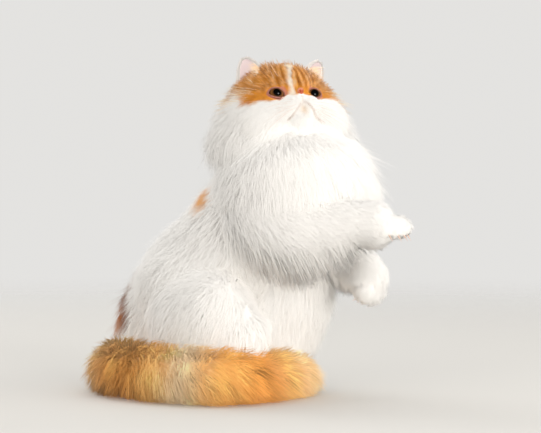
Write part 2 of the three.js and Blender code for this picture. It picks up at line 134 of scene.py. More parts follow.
def mix(first: Array, second: Array, share: Array) -> Array:
    """first at share 0, second at share 1."""
    return first + (second - first) * share


def column(values: Array) -> Array:
    """A row of numbers as one column."""
    return np.asarray(values)[..., None]


def flat(colour: Colour, points: Array) -> Array:
    """One colour for each point."""
    return np.tile(np.array(colour), (len(points), 1))


def paint(base: Array, colour: Colour, amount: Array) -> Array:
    """base with colour laid over it."""
    return mix(base, np.array(colour), column(amount))


def ripple(points: Array, size: float, seed: int) -> Array:
    """Smooth waves through space, about -1 to 1.

    Args:
        points: where they are read, one row each.
        size: how far apart a crest and a trough lie.
        seed: picks the waves.
    """
    rng = np.random.default_rng(seed)
    waves = unit(rng.normal(size=(7, 3))) * rng.uniform(0.6, 1.5, (7, 1)) * math.pi / size
    return np.clip(np.sin(points @ waves.T + rng.uniform(0, 6.28, 7)).mean(1) * 2.2, -1, 1)


def through(points: Array, shares: Array) -> Array:
    """A centripetal Catmull-Rom curve.

    Args:
        points: the places that it passes, evenly spread over its shares.
        shares: where it is read, from 0 to 1.

    Returns:
        One point of the curve for each share.
    """
    last = len(points) - 1
    before = np.minimum((shares * last).astype(int), last - 1)
    part = column(shares * last - before)
    ends = np.vstack([2 * points[0] - points[1], points, 2 * points[-1] - points[-2]])
    p0, p1, p2, p3 = (ends[before + i] for i in range(4))
    d0, d1, d2 = (column(np.sqrt(np.linalg.norm(b - a, axis=1))) for a, b in ((p0, p1), (p1, p2), (p2, p3)))
    leave = ((p1 - p0) / d0 - (p2 - p0) / (d0 + d1) + (p2 - p1) / d1) * d1
    arrive = ((p2 - p1) / d1 - (p3 - p1) / (d1 + d2) + (p3 - p2) / d2) * d1
    square = -3 * p1 + 3 * p2 - 2 * leave - arrive
    cube = 2 * p1 - 2 * p2 + leave + arrive
    return p1 + leave * part + square * part**2 + cube * part**3


def verts_of(made: bmesh.types.BMesh) -> Array:
    """The places of a bmesh's vertices."""
    return np.array([v.co for v in made.verts])


def move(made: bmesh.types.BMesh, places: Array) -> None:
    """Moves the vertices of a bmesh, and turns its faces outwards."""
    for vertex, place in zip(made.verts, places):
        vertex.co = place
    bmesh.ops.recalc_face_normals(made, faces=made.faces)


def globe(segments: int, rings: int) -> tuple[bmesh.types.BMesh, Array, Array]:
    """A ball of radius 1, with the share from pole to pole and the angle round of its vertices."""
    made = bmesh.new()
    bmesh.ops.create_uvsphere(made, u_segments=segments, v_segments=rings, radius=1.0)
    places = verts_of(made)
    return made, np.arccos(np.clip(places[:, 2], -1, 1)) / math.pi, np.arctan2(places[:, 1], places[:, 0])


class Grown:
    """A part of the body with a coat: its outline is surface(share, angle, core).

    share runs along the part and angle round it, and core is the share of the coat's depth: 0 is
    the flesh, SKIN the skin's piece and 1 the coat's outline.
    """

    def skin_core(self, share: Array, angle: Array) -> Array:
        """The share of the coat's depth at which the skin lies."""
        return np.full(np.shape(share), SKIN)

    def surface(self, share: Array, angle: Array, core: float | Array) -> Array:
        """Points of the outline."""
        raise NotImplementedError

    def depth(self, share: Array, angle: Array) -> Array:
        """The coat's depth."""
        raise NotImplementedError

    def normal(self, share: Array, angle: Array) -> Array:
        """The way out of the coat."""
        ahead = self.surface(share + NUDGE, angle, 0.7) - self.surface(share - NUDGE, angle, 0.7)
        around = self.surface(share, angle + NUDGE, 0.7) - self.surface(share, angle - NUDGE, 0.7)
        out = unit(np.cross(ahead, around))
        rise = self.surface(share, angle, 1.0) - self.surface(share, angle, 0.0)
        return unit(out * column(np.sign(dot(out, rise))) + 0.6 * unit(rise))

    def ahead(self, share: Array, angle: Array) -> Array:
        """The way along the part."""
        return unit(self.surface(share + NUDGE, angle, 1.0) - self.surface(share - NUDGE, angle, 1.0))

    def step(self, share: Array, angle: Array, move: Array) -> tuple[Array, Array]:
        """The share and angle that are about move away on the outline."""
        here = self.surface(share, angle, 1.0)
        lengthwise = (self.surface(share + NUDGE, angle, 1.0) - here) / NUDGE
        around = (self.surface(share, angle + NUDGE, 1.0) - here) / NUDGE
        a, b, c = dot(lengthwise, lengthwise), dot(lengthwise, around), dot(around, around)
        d, e = dot(lengthwise, move), dot(around, move)
        scale = a * c - b * b + 1e-12
        moved = share + np.clip((d * c - e * b) / scale, -0.2, 0.2)
        return np.clip(moved, 0.02, 0.98), angle + np.clip((a * e - b * d) / scale, -0.5, 0.5)

    def ball(self, segments: int, rings: int) -> bmesh.types.BMesh:
        """A closed mesh of the skin, with so many faces round the part and along it."""
        made, share, angle = globe(segments, rings)
        move(made, self.surface(share, angle, SKIN))
        return made


@dataclass
class Form(Grown):
    """A rounded part along a smooth spine.

    Attributes:
        stations: x, y, z, half width, half depth and the coat's depth at each stop of the spine.
        side: the way that the half width points.
        caps: the shares of the length that the two rounded ends take.
    """

    stations: Stops
    side: Place = (0.0, 1.0, 0.0)
    caps: tuple[float, float] = (0.22, 0.22)
    samples: int = 161

    def __post_init__(self) -> None:
        """Works out the table that every look-up reads."""
        shares = np.linspace(0, 1, self.samples)
        stops = np.array(self.stations, float)
        spine = through(stops[:, :3], shares)
        along = unit(np.gradient(spine, axis=0))
        side = unit(np.array(self.side) - along * column(along @ np.array(self.side)))
        last = len(stops) - 1
        before = np.minimum((shares * last).astype(int), last - 1)
        part = column(smooth(0, 1, shares * last - before))
        sizes = mix(stops[before, 3:], stops[before + 1, 3:], part)
        self.table = np.hstack([spine, along, side, np.cross(along, side), sizes])
        reach = (sizes[:, :2].max(1) + sizes[:, 2])[:, None]
        self.low, self.high = (spine - reach).min(0), (spine + reach).max(0)

    def read(self, share: Array) -> list[Array]:
        """Place, along, side, out and sizes at shares of the length."""
        at = np.clip(share, 0, 1) * (self.samples - 1)
        before = np.minimum(at.astype(int), self.samples - 2)
        row = mix(self.table[before], self.table[before + 1], column(at - before))
        return np.split(row, [3, 6, 9, 12], axis=-1)

    def rounding(self, share: Array) -> Array:
        """How full the part is: 0 at the tip of an end, 1 past its cap."""
        start = np.minimum(1, np.clip(share, 0, 1) / self.caps[0])
        end = np.minimum(1, (1 - np.clip(share, 0, 1)) / self.caps[1])
        return np.sqrt(1 - (1 - start) ** 2) * np.sqrt(1 - (1 - end) ** 2)

    def surface(self, share: Array, angle: Array, core: float | Array) -> Array:
        """Points of the outline."""
        place, along, side, out, sizes = self.read(share)
        coat = sizes[..., 2] * core
        full = self.rounding(share)
        place = place + along * column(np.where(share < 0.5, -1, 1) * coat * (1 - full))
        place = place + side * column((sizes[..., 0] + coat) * full * np.cos(angle))
        return place + out * column((sizes[..., 1] + coat) * full * np.sin(angle))

    def depth(self, share: Array, angle: Array) -> Array:
        """The coat's depth."""
        return self.read(share)[4][..., 2]

    def holds(self, points: Array, core: float) -> Array:
        """Which points lie under a share of the coat."""
        near = np.all((points > self.low) & (points < self.high), axis=1)
        held = np.zeros(len(points), bool)
        if near.any():
            held[near] = self.holds_near(points[near], core)
        return held

    def holds_near(self, points: Array, core: float) -> Array:
        """As holds, for points that are near the form."""
        nearest = np.full(len(points), 1e9)
        ratio = np.full(len(points), 1e9)
        for share in np.arange(0.02, 1, 0.04):
            place, along, side, out, sizes = self.read(np.array([share]))
            away = points - place
            full = self.rounding(np.array([share]))
            wide, deep = ((sizes[0, i] + sizes[0, 2] * core) * full for i in (0, 1))
            off = np.abs(dot(away, along))
            closer = off < nearest
            nearest = np.where(closer, off, nearest)
            ratio = np.where(closer, (dot(away, side) / wide) ** 2 + (dot(away, out) / deep) ** 2, ratio)
        return (nearest < 0.012) & (ratio < 1)


@dataclass
class HeadFrame:
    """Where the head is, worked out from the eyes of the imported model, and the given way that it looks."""

    yaw: float = math.radians(-35)
    pitch: float = math.radians(27)
    eye_forward: float = 0.027
    eye_apart: float = 0.024
    eye_up: float = 0.0075

    @cached_property
    def axes(self) -> Array:
        """Rows: forward out of the face, left and up."""
        cos_yaw, sin_yaw = math.cos(self.yaw), math.sin(self.yaw)
        level = math.cos(self.pitch)
        forward = np.array([cos_yaw * level, sin_yaw * level, math.sin(self.pitch)])
        left = np.array([-sin_yaw, cos_yaw, 0.0])
        return np.array([forward, left, np.cross(forward, left)])

    @cached_property
    def centre(self) -> Array:
        """The middle of the head."""
        corners = np.array([corner for name in ("eye_left", "eye_right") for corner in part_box(name)])
        return corners.mean(0) - np.array([self.eye_forward, 0, self.eye_up]) @ self.axes

    def world(self, local: Array) -> Array:
        """Points given forward, left and up of the head's centre, in the frame of the model."""
        return self.centre + np.asarray(local) @ self.axes

    def local(self, points: Array) -> Array:
        """Points of the model's frame as forward, left and up of the head's centre."""
        return (np.asarray(points) - self.centre) @ self.axes.T

    def form(self, stations: Stops, side: Place, caps: tuple[float, float]) -> Form:
        """A Form whose places and side are given in the head's frame."""
        placed = tuple((*self.world(stop[:3]), *stop[3:]) for stop in stations)
        return Form(placed, tuple(np.array(side) @ self.axes), caps)


HEAD = HeadFrame()


@dataclass
class Skull(Grown):
    """The head: rounded lobes that run into one another, seen from its centre.

    Attributes:
        lobes: forward, left and up of each lobe's centre, then its three half sizes.
        blend: how far the lobes run into one another.
        socket: how deep the hollow round an eye is, and its spread in radians.
        coat: the depth of the fur on the face, the crown and the cheeks.
        crowding: how closely the rings of the mesh crowd round the nose.
        philtrum: the groove under the nose, as slopes of rays from the head's centre.
        branches: the mouth's line on either side of it, also as slopes.
    """

    lobes: Stops = (
        (-0.006, 0.0, 0.004, 0.046, 0.048, 0.048),  # skull and nape
        (0.012, 0.0, 0.022, 0.029, 0.034, 0.029),  # forehead
        (0.006, 0.027, -0.012, 0.030, 0.029, 0.027),  # cheeks
        (0.006, -0.027, -0.012, 0.030, 0.029, 0.027),
        (0.030, 0.0115, -0.011, 0.018, 0.014, 0.014),  # whisker pads
        (0.030, -0.0115, -0.011, 0.018, 0.014, 0.014),
        (0.029, 0.0, -0.002, 0.0175, 0.008, 0.010),  # bridge under the nose
        (0.024, 0.0, -0.026, 0.020, 0.014, 0.013),  # chin
    )
    blend: float = 0.0022
    socket: tuple[float, float] = (0.0045, 0.23)
    coat: tuple[float, float, float] = (0.003, 0.014, 0.024)
    crowding: float = 1.4
    philtrum: Stops = ((0, -0.06), (0, -0.12), (0, -0.17), (0, -0.22))
    branches: dict[Side, Stops] = field(default_factory=lambda: {
        Side.RIGHT: ((0, -0.22), (0.08, -0.30), (0.22, -0.48), (0.36, -0.68), (0.56, -0.92)),
        Side.LEFT: ((0, -0.20), (0.10, -0.26), (0.18, -0.35), (0.28, -0.47), (0.43, -0.62), (0.74, -0.84),
                    (1.05, -1.12)),
    })

    @cached_property
    def mouth(self) -> Array:
        """Points close together along the line of the mouth, in the head's frame."""
        sides = [self.line(line, side.value, 40) for side, line in self.branches.items()]
        return np.vstack([self.line(self.philtrum, 1, 40), *sides])

    def line(self, slopes: Stops, hand: int, count: int) -> Array:
        """Points along a line on the face that passes some slopes, on the left (1) or the right (-1)."""
        stops = np.array(slopes, float) * (hand, 1)
        curve = through(np.column_stack([stops, np.zeros(len(stops))]), np.linspace(0, 1, count))
        return self.face(curve[:, :2])

    def far_from_mouth(self, local: Array) -> Array:
        """How far points of the head are from the line of the mouth."""
        far = np.full(len(local), 1.0)
        near = local[:, 0] > 0.01
        far[near] = np.linalg.norm(local[near][:, None] - self.mouth[None], axis=2).min(1)
        return far

    def radius(self, rays: Array) -> Array:
        """How far the bare head reaches along rays in its own frame."""
        swell = np.zeros(len(rays))
        for lobe in self.lobes:
            middle, size = np.array(lobe[:3]), np.array(lobe[3:])
            start, pace = -middle / size, rays / size
            a, b = dot(pace, pace), pace @ start
            root = b * b - a * (start @ start - 1)
            leaves = np.where(root < 0, 0, (np.sqrt(np.maximum(root, 0)) - b) / a)
            swell += np.exp(leaves / self.blend)
        hollow = np.zeros(len(rays))
        for side in Side:
            eye = unit(np.array([HEAD.eye_forward, side.value * HEAD.eye_apart, HEAD.eye_up]))
            hollow += self.socket[0] * hill(np.arccos(np.clip(rays @ eye, -1, 1)) / self.socket[1])
        return self.blend * np.log(swell) - hollow

    def fur(self, rays: Array) -> Array:
        """The depth of the fur: short on the face, deep on the cheeks and nape."""
        face, crown, cheek = self.coat
        back = smooth(0.75, 1.75, np.arccos(np.clip(rays[..., 0], -1, 1)))
        low = smooth(-0.75, 0.1, -rays[..., 2])
        return mix(face, mix(crown, cheek, low), back)

    def rays(self, share: Array, angle: Array) -> Array:
        """Directions in the head's frame: share 0 is the nose, 1 the nape."""
        tilt = math.pi * (np.arccos(1 - 2 * np.clip(share, 0, 1)) / math.pi) ** self.crowding
        return np.stack([np.cos(tilt), np.sin(tilt) * np.sin(angle), np.sin(tilt) * np.cos(angle)], -1)

    def surface(self, share: Array, angle: Array, core: float | Array) -> Array:
        """Points of the outline."""
        rays = self.rays(share, angle)
        return HEAD.world(rays * column(self.radius(rays) + self.fur(rays) * core))

    def depth(self, share: Array, angle: Array) -> Array:
        """The coat's depth."""
        return self.fur(self.rays(share, angle))

    def skin_core(self, share: Array, angle: Array) -> Array:
        """The share of the coat's depth at which the skin lies: none where the fur is short."""
        return SKIN * self.felted(self.rays(share, angle))

    def felted(self, rays: Array) -> Array:
        """How much undercoat there is: 0 on the face, 1 where the fur is deep."""
        return smooth(0.0035, 0.010, self.fur(rays))

    def skin(self, rays: Array) -> Array:
        """How far the skin reaches along rays."""
        return self.radius(rays) + self.fur(rays) * SKIN * self.felted(rays)

    def holds(self, points: Array, core: float) -> Array:
        """Which points lie under a share of the coat."""
        local = HEAD.local(points)
        far = np.linalg.norm(local, axis=1)
        held = far < 0.02
        near = ~held & (far < 0.09)
        rays = unit(local[near])
        held[near] = far[near] < self.radius(rays) + self.fur(rays) * core
        return held

    def face(self, slopes: Array, lift: float = 0.0) -> Array:
        """Points of the face, in the head's frame.

        Args:
            slopes: how far to the left and up a ray goes for each metre forward, one row each.
            lift: how far off the skin they are.
        """
        rays = unit(np.column_stack([np.ones(len(slopes)), slopes]))
        return rays * column(self.radius(rays) + lift)


SKULL = Skull()


def form(*stops: tuple[float, ...], side: Place = (0.0, 1.0, 0.0),
         caps: tuple[float, float] = (0.4, 0.4)) -> Form:
    """A field of a dataclass that holds a Form."""
    return field(default_factory=lambda: Form(stops, side, caps))


def pair(*stops: tuple[float, ...], caps: tuple[float, float] = (0.22, 0.22)) -> dict[Side, Form]:
    """A field with the same Form on the cat's left and right, given for the left."""
    return field(default_factory=lambda: {
        side: Form(tuple((stop[0], side.value * stop[1], *stop[2:]) for stop in stops), caps=caps)
        for side in Side
    })


@dataclass
class Body:
    """The forms of the whole cat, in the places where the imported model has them.

    Attributes:
        tail_path: place and the coat's depth at each stop of the tail, and tail_radius its bare radius.
        paw_coat: the coat's depth on a forepaw, and toe_coat on its toes.
        toe_radius: the bare radius of a toe.
    """

    ruff: Form = form(
        (0.154, 0.006, 0.196, 0.058, 0.054, 0.028), (0.157, 0.006, 0.236, 0.062, 0.062, 0.046),
        (0.149, 0.004, 0.276, 0.054, 0.052, 0.050), (0.140, 0.003, 0.312, 0.042, 0.036, 0.046),
    )
    mane: Form = form(
        (0.137, 0.009, 0.268, 0.056, 0.030, 0.036), (0.136, 0.010, 0.304, 0.056, 0.030, 0.036),
        (0.134, 0.011, 0.340, 0.050, 0.026, 0.032), (0.132, 0.012, 0.374, 0.040, 0.020, 0.024),
        side=tuple(HEAD.axes[1]), caps=(0.3, 0.45),
    )
    torso: Form = form(
        (-0.010, 0.0, 0.003, 0.042, 0.042, 0.024), (-0.024, 0.0, 0.048, 0.050, 0.044, 0.026),
        (-0.004, 0.0, 0.090, 0.062, 0.054, 0.024), (0.034, 0.0, 0.134, 0.064, 0.060, 0.025),
        (0.076, 0.0, 0.178, 0.058, 0.056, 0.022), (0.112, 0.0, 0.222, 0.056, 0.050, 0.022),
        (0.136, 0.0, 0.258, 0.046, 0.046, 0.026), caps=(0.1, 0.25),
    )
    foreleg_right: Form = form(
        (0.104, -0.052, 0.222, 0.026, 0.036, 0.016), (0.148, -0.060, 0.211, 0.020, 0.031, 0.018),
        (0.190, -0.056, 0.203, 0.017, 0.026, 0.019), (0.230, -0.044, 0.205, 0.015, 0.020, 0.017),
        (0.264, -0.036, 0.211, 0.015, 0.017, 0.013), (0.290, -0.029, 0.208, 0.014, 0.015, 0.010),
        caps=(0.25, 0.15),
    )
    foreleg_left: Form = form(
        (0.106, 0.052, 0.216, 0.026, 0.036, 0.018), (0.140, 0.058, 0.196, 0.020, 0.028, 0.019),
        (0.174, 0.058, 0.177, 0.016, 0.020, 0.015), (0.206, 0.054, 0.163, 0.014, 0.014, 0.011),
        (0.228, 0.050, 0.152, 0.015, 0.015, 0.011), (0.231, 0.049, 0.134, 0.014, 0.014, 0.009),
        caps=(0.25, 0.15),
    )
    thighs: dict[Side, Form] = pair(
        (0.002, 0.044, 0.070, 0.034, 0.046, 0.020), (0.054, 0.060, 0.090, 0.032, 0.048, 0.024),
        (0.104, 0.070, 0.104, 0.026, 0.034, 0.026), (0.132, 0.072, 0.104, 0.020, 0.024, 0.024),
        caps=(0.35, 0.35),
    )
    shanks: dict[Side, Form] = pair(
        (0.124, 0.070, 0.104, 0.020, 0.024, 0.022), (0.116, 0.060, 0.066, 0.020, 0.022, 0.019),
        (0.103, 0.053, 0.032, 0.017, 0.018, 0.015),
    )
    soles: dict[Side, Form] = pair(
        (0.008, 0.050, 0.019, 0.015, 0.016, 0.005), (0.050, 0.050, 0.016, 0.014, 0.013, 0.005),
        (0.092, 0.050, 0.015, 0.016, 0.011, 0.005), (0.116, 0.050, 0.013, 0.014, 0.009, 0.005),
        caps=(0.2, 0.2),
    )
    belly: Form = form(
        (0.060, 0.004, 0.050, 0.034, 0.034, 0.020), (0.106, 0.018, 0.072, 0.038, 0.036, 0.022),
        (0.130, 0.028, 0.104, 0.037, 0.032, 0.022), (0.145, 0.032, 0.142, 0.033, 0.027, 0.023),
        (0.140, 0.028, 0.180, 0.028, 0.026, 0.022),
    )
    flanks: dict[Side, Form] = pair(
        (-0.022, 0.036, 0.100, 0.026, 0.028, 0.022), (0.026, 0.048, 0.134, 0.028, 0.030, 0.023),
        (0.074, 0.050, 0.160, 0.024, 0.026, 0.022), caps=(0.4, 0.4),
    )
    tail_radius: float = 0.009
    tail_path: Stops = (
        (-0.034, -0.014, 0.040, 0.018), (-0.056, -0.044, 0.034, 0.026), (-0.040, -0.080, 0.031, 0.030),
        (0.002, -0.103, 0.031, 0.031), (0.050, -0.116, 0.031, 0.031), (0.094, -0.117, 0.031, 0.031),
        (0.128, -0.100, 0.030, 0.030), (0.144, -0.066, 0.028, 0.028), (0.149, -0.028, 0.026, 0.027),
        (0.150, 0.010, 0.024, 0.026), (0.147, 0.046, 0.021, 0.024),
    )
    paw_coat: float = 0.010
    toe_coat: float = 0.0055
    toe_radius: float = 0.0078

    def __post_init__(self) -> None:
        """Adds the parts that are worked out from others: the tail, the palms and the toes."""
        radius = self.tail_radius
        tail = tuple((*stop[:3], radius, radius, stop[3]) for stop in self.tail_path)
        self.tail = Form(tail, (0.0, 0.0, 1.0), (0.08, 0.14))
        self.forelegs = {Side.RIGHT: self.foreleg_right, Side.LEFT: self.foreleg_left}
        self.palms = {
            Side.RIGHT: self.palm((0.258, -0.037, 0.212), (0.302, -0.025, 0.207), (0.25, 1.0, 0.0)),
            Side.LEFT: self.palm((0.229, 0.049, 0.162), (0.232, 0.047, 0.130), (0.0, 1.0, 0.0)),
        }
        self.toes = {
            Side.RIGHT: self.fore_toes((0.258, -0.037, 0.211), (0.302, -0.025, 0.206),
                                       (0.25, 0, -1), (0.25, 1, 0)),
            Side.LEFT: self.fore_toes((0.232, 0.050, 0.162), (0.236, 0.048, 0.130), (-1, 0, -0.1), (0, 1, 0)),
        }
        self.hind_toes = {side: self.sole_toes(side.value) for side in Side}
        self.under = {Side.RIGHT: unit(np.array([0.25, 0, -1])), Side.LEFT: unit(np.array([-1, 0, -0.1]))}

    def palm(self, start: Place, end: Place, side: Place) -> Form:
        """The palm of a forepaw, from the wrist to the root of the toes."""
        stops = []
        for share in (0.0, 0.5, 1.0):
            place = mix(np.array(start), np.array(end), share)
            stops.append((*place, mix(0.014, 0.021, share), mix(0.016, 0.020, share), self.paw_coat))
        return Form(tuple(stops), side, (0.3, 0.35))

    def fore_toes(self, start: Place, end: Place, down: Place, side: Place) -> list[Form]:
        """The four toes across the end of a forepaw."""
        along = unit(np.array(end) - np.array(start))
        under, across = unit(np.array(down, float)), unit(np.array(side, float))
        sizes = (self.toe_radius, self.toe_radius, self.toe_coat)
        toes = []
        for place in (-1.5, -0.5, 0.5, 1.5):
            root = np.array(end) + across * place * 0.0104 - along * abs(place) * 0.0034 - under * 0.003
            stops = (root, root + along * 0.008 + under * 0.001, root + along * 0.013 + under * 0.009)
            toes.append(Form(tuple((*stop, *sizes) for stop in stops), side))
        return toes

    def sole_toes(self, hand: int) -> list[Form]:
        """The four toes of a hind foot."""
        toes = []
        for place in (-1.5, -0.5, 0.5, 1.5):
            x, y = 0.120 - abs(place) * 0.0026, hand * 0.050 + place * 0.0086
            toes.append(Form((
                (x - 0.008, y, 0.012, 0.0050, 0.0070, 0.0026), (x, y, 0.011, 0.0050, 0.0070, 0.0026),
                (x + 0.006, y, 0.008, 0.0046, 0.0055, 0.0026),
            )))
        return toes

    @cached_property
    def forms(self) -> list[Grown]:
        """Every part of the body."""
        pairs = (self.forelegs, self.thighs, self.flanks, self.shanks, self.soles, self.palms)
        toes = [toe for paw in (self.toes, self.hind_toes) for four in paw.values() for toe in four]
        return [SKULL, self.ruff, self.mane, self.torso, self.belly, self.tail,
                *(form for pair in pairs for form in pair.values()), *toes]


@dataclass(frozen=True)
class Markings:
    """The red and white pattern, the same for skin and coat, and the colours that it uses.

    Attributes:
        edge_turn: degrees round from the nose, to the cat's left, of stops along the red's edge.
        edge_height: the height of the red's lower edge at those stops, in degrees.
        patches: middle, half sizes and colour of the patches on the trunk.
    """

    white: Colour = linear(252, 250, 247)
    blaze: Colour = linear(242, 230, 214)
    cream: Colour = linear(248, 226, 192)
    red: Colour = linear(238, 162, 58)
    dark_streak: Colour = linear(126, 60, 12)
    deep_red: Colour = linear(188, 106, 24)
    tan: Colour = linear(248, 192, 116)
    dark_tan: Colour = linear(218, 136, 40)
    brown: Colour = linear(128, 76, 44)
    bare_skin: Colour = linear(216, 194, 196)
    stain: Colour = linear(222, 186, 140)
    # The lips' own brown, laid along the mouth's line, where it also stands for painted shade in the crease.
    lip_and_crease_shade: Colour = linear(160, 116, 84)
    lid: Colour = linear(204, 134, 106)
    edge_turn: tuple[float, ...] = (
        -180, -150, -118, -104, -92, -84, -76, -60, -40, -18, -8, 0, 10, 28, 46, 80, 110, 150, 180)
    edge_height: tuple[float, ...] = (-30, -26, -12, 2, 26, 14, -2, -3, -2, 2, 3, 3, 0, 1, 4, 4, -8, -24, -30)
    patches: tuple[tuple[Place, Place, Colour], ...] = (
        ((0.063, -0.040, 0.238), (0.014, 0.032, 0.019), red),
        ((0.070, 0.030, 0.335), (0.042, 0.046, 0.050), red),
        ((-0.078, -0.034, 0.104), (0.046, 0.050, 0.036), brown),
        ((-0.074, 0.012, 0.070), (0.048, 0.052, 0.034), deep_red),
    )

    def head(self, points: Array, share: Array | None = None) -> Array:
        """Colours of places on the head, which don't hang on their share of its length."""
        local = HEAD.local(points)
        rays = unit(local)
        turn = np.degrees(np.arctan2(rays[:, 1], rays[:, 0]))
        height = np.degrees(np.arcsin(np.clip(rays[:, 2], -1, 1)))
        waver = ripple(points, 0.006, 3) * 2.2 + ripple(points, 0.018, 4) * 2.5
        coat = paint(flat(self.red, points), self.deep_red, 0.25 + 0.2 * ripple(points, 0.012, 6))
        streaks = np.sin(np.radians(turn) * 30 + ripple(points, 0.012, 5) * 1.3)
        streaks = streaks + 0.4 * ripple(points, 0.0035, 8)
        upper = smooth(12, 24, height) * smooth(0, 12, 78 - height) * (0.75 + 0.25 * ripple(points, 0.01, 7))
        lower = (1 - smooth(10, 20, height)) * smooth(0.2, 1.0, streaks + 0.7 * ripple(points, 0.006, 9))
        coat = paint(coat, self.deep_red, lower * 0.6)
        coat = paint(coat, self.dark_streak, upper * smooth(0.0, 0.45, streaks) * 0.95)
        coat = paint(coat, self.cream, upper * smooth(0.3, 1.0, -streaks) * 0.5)
        red = smooth(-2.5, 2.5, height - np.interp(turn, self.edge_turn, self.edge_height) + waver)
        middle = np.interp(height, (0, 12, 41, 58), (-13, -14, -7, 0))
        half = np.interp(height, (0, 6, 14, 41, 52, 62, 70), (9, 6.5, 3.8, 4.2, 6, 11, 0.1))
        blaze = 1 - smooth(0.7, 1.3, np.abs(turn - middle + waver) / np.maximum(half, 0.1))
        beside = hill((turn + 94 + 5 * waver / 4) / 8) * smooth(-14, -6, height) * smooth(0, 8, 26 - height)
        shades = mix(flat(self.white, points), coat, column(red))
        for colour, amount in (
            (self.blaze, blaze * smooth(0, 10, 72 - height) * smooth(-4, 4, height) * 0.95),
            (self.cream, blaze * smooth(42, 54, height) * 0.6),
            (self.white, beside * 0.9),
            (self.deep_red, hill((turn + 116) / 10, (height - 10) / 10) * 0.8),  # behind the ear
            (self.stain, hill((turn - 1) / 6, (height + 24) / 6) * 0.6),  # on the chin
            # Along the mouth's line: the lips' own brown with painted shade of the mouth's crease.
            (self.lip_and_crease_shade, 0.6 * hill(SKULL.far_from_mouth(local) / 0.0011)),
        ):
            shades = paint(shades, colour, amount)
        return shades

    def ear(self, points: Array, share: Array) -> Array:
        """Colours of places on an ear, at shares of its length: red at the root, pale at the rim."""
        shades = paint(flat(self.red, points), self.deep_red, 0.2 + 0.2 * ripple(points, 0.008, 31))
        return paint(shades, self.white, smooth(0.1, 0.6, share + 0.1 * ripple(points, 0.006, 32)) * 0.9)

    def body(self, points: Array, share: Array | None = None) -> Array:
        """Colours of places on the trunk, legs and feet, which don't hang on their share of a form."""
        shades = flat(self.white, points)
        waver = ripple(points, 0.03, 12) * 0.35
        for place, sizes, colour in self.patches:
            far = np.linalg.norm((points - np.array(place)) / np.array(sizes), axis=1)
            shades = paint(shades, colour, 1 - smooth(0.75, 1.2, far + waver))
        return shades

    def tail(self, points: Array, share: Array) -> Array:
        """Colours of places on the tail, at shares of its length."""
        waver = ripple(points, 0.022, 21)
        dark = smooth(0.16, 0.3, share) * smooth(0, 0.08, 0.44 - share)
        dark += smooth(0.54, 0.6, share) * smooth(0, 0.1, 0.8 - share)
        shades = paint(flat(self.tan, points), self.dark_tan, np.clip(dark * 0.65 + waver * 0.3, 0, 1))
        pale = hill((share - 0.49) / 0.035) * 0.75 + smooth(0.80, 0.93, share) * 0.6
        # Paler along the top of the tail, by height: partly white hairs of the body lying over it, partly a
        # painted highlight where the light from above falls.
        pale += smooth(0.040, 0.064, points[:, 2]) * smooth(0.15, 0.3, share) * 0.8
        return paint(shades, self.cream, np.clip(pale + waver * 0.2, 0, 1))


MARKINGS = Markings()


class Graph:
    """A new material and the nodes that dress it."""

    def __init__(self, name: str) -> None:
        """Makes the material with its surface shader."""
        self.material = bpy.data.materials.new(name)
        self.material.use_nodes = True
        self.tree = self.material.node_tree

    def fill(self, node: bpy.types.Node, values: dict) -> bpy.types.Node:
        """Fills a node's inputs: another node's output is linked, and anything else is set."""
        for key, value in values.items():
            if isinstance(value, bpy.types.NodeSocket):
                self.tree.links.new(value, node.inputs[key])
            else:
                node.inputs[key].default_value = value
        return node

    def add(self, kind: str, values: dict, **settings: str) -> bpy.types.Node:
        """A new node with its settings and inputs."""
        node = self.tree.nodes.new(f"ShaderNode{kind}")
        for key, value in settings.items():
            setattr(node, key, value)
        return self.fill(node, values)

    def place(self) -> bpy.types.NodeSocket:
        """Where on the object a point is."""
        return self.add("TexCoord", {}).outputs["Object"]

    def markings(self) -> bpy.types.NodeSocket:
        """The colour that the markings give."""
        return self.add("Attribute", {}, attribute_name=COLOUR).outputs["Color"]

    def noise(self, place: bpy.types.NodeSocket, scale: float, detail: float = 2.0) -> bpy.types.NodeSocket:
        """Noise, from 0 to 1."""
        return self.add("TexNoise", {"Vector": place, "Scale": scale, "Detail": detail}).outputs["Fac"]

    def ramp(self, share: bpy.types.NodeSocket, *stops: tuple[float, Colour]) -> bpy.types.NodeSocket:
        """A colour that runs through stops, each a place from 0 to 1 and its colour."""
        node = self.add("ValToRGB", {"Fac": share})
        elements = node.color_ramp.elements
        for index, (at, colour) in enumerate(stops):
            element = elements[index] if index < 2 else elements.new(at)
            element.position, element.color = at, (*colour, 1)
        return node.outputs["Color"]

    def scaled(self, colour: bpy.types.NodeSocket, share: bpy.types.NodeSocket, low: float,
               high: float) -> bpy.types.NodeSocket:
        """A colour made darker or lighter, low times at share 0 and high times at share 1."""
        scale = self.add("MapRange", {"Value": share, "To Min": low, "To Max": high}).outputs["Result"]
        return self.add("VectorMath", {0: colour, "Scale": scale}, operation="SCALE").outputs["Vector"]

    def bump(self, height: bpy.types.NodeSocket, strength: float, distance: float) -> bpy.types.NodeSocket:
        """The normal of a surface with bumps."""
        bump = self.add("Bump", {"Height": height, "Strength": strength, "Distance": distance})
        return bump.outputs["Normal"]

    def dressed(self, values: dict) -> bpy.types.Material:
        """The material, with its surface shader's inputs filled."""
        self.fill(self.tree.nodes["Principled BSDF"], values)
        return self.material


@dataclass(frozen=True)
class FurFinish:
    """Hair: the markings' colour with a little variation from hair to hair."""

    name: str = "fur"
    roughness: float = 0.62
    sheen: float = 0.1
    grain: float = 900.0

    def material(self) -> bpy.types.Material:
        """The finish as a Blender material."""
        graph = Graph(self.name)
        tint = graph.scaled(graph.markings(), graph.noise(graph.place(), self.grain), 0.90, 1.06)
        return graph.dressed({"Base Color": tint, "Roughness": self.roughness, "Specular IOR Level": 0.25,
                              "Sheen Weight": self.sheen, "Sheen Roughness": 0.5})


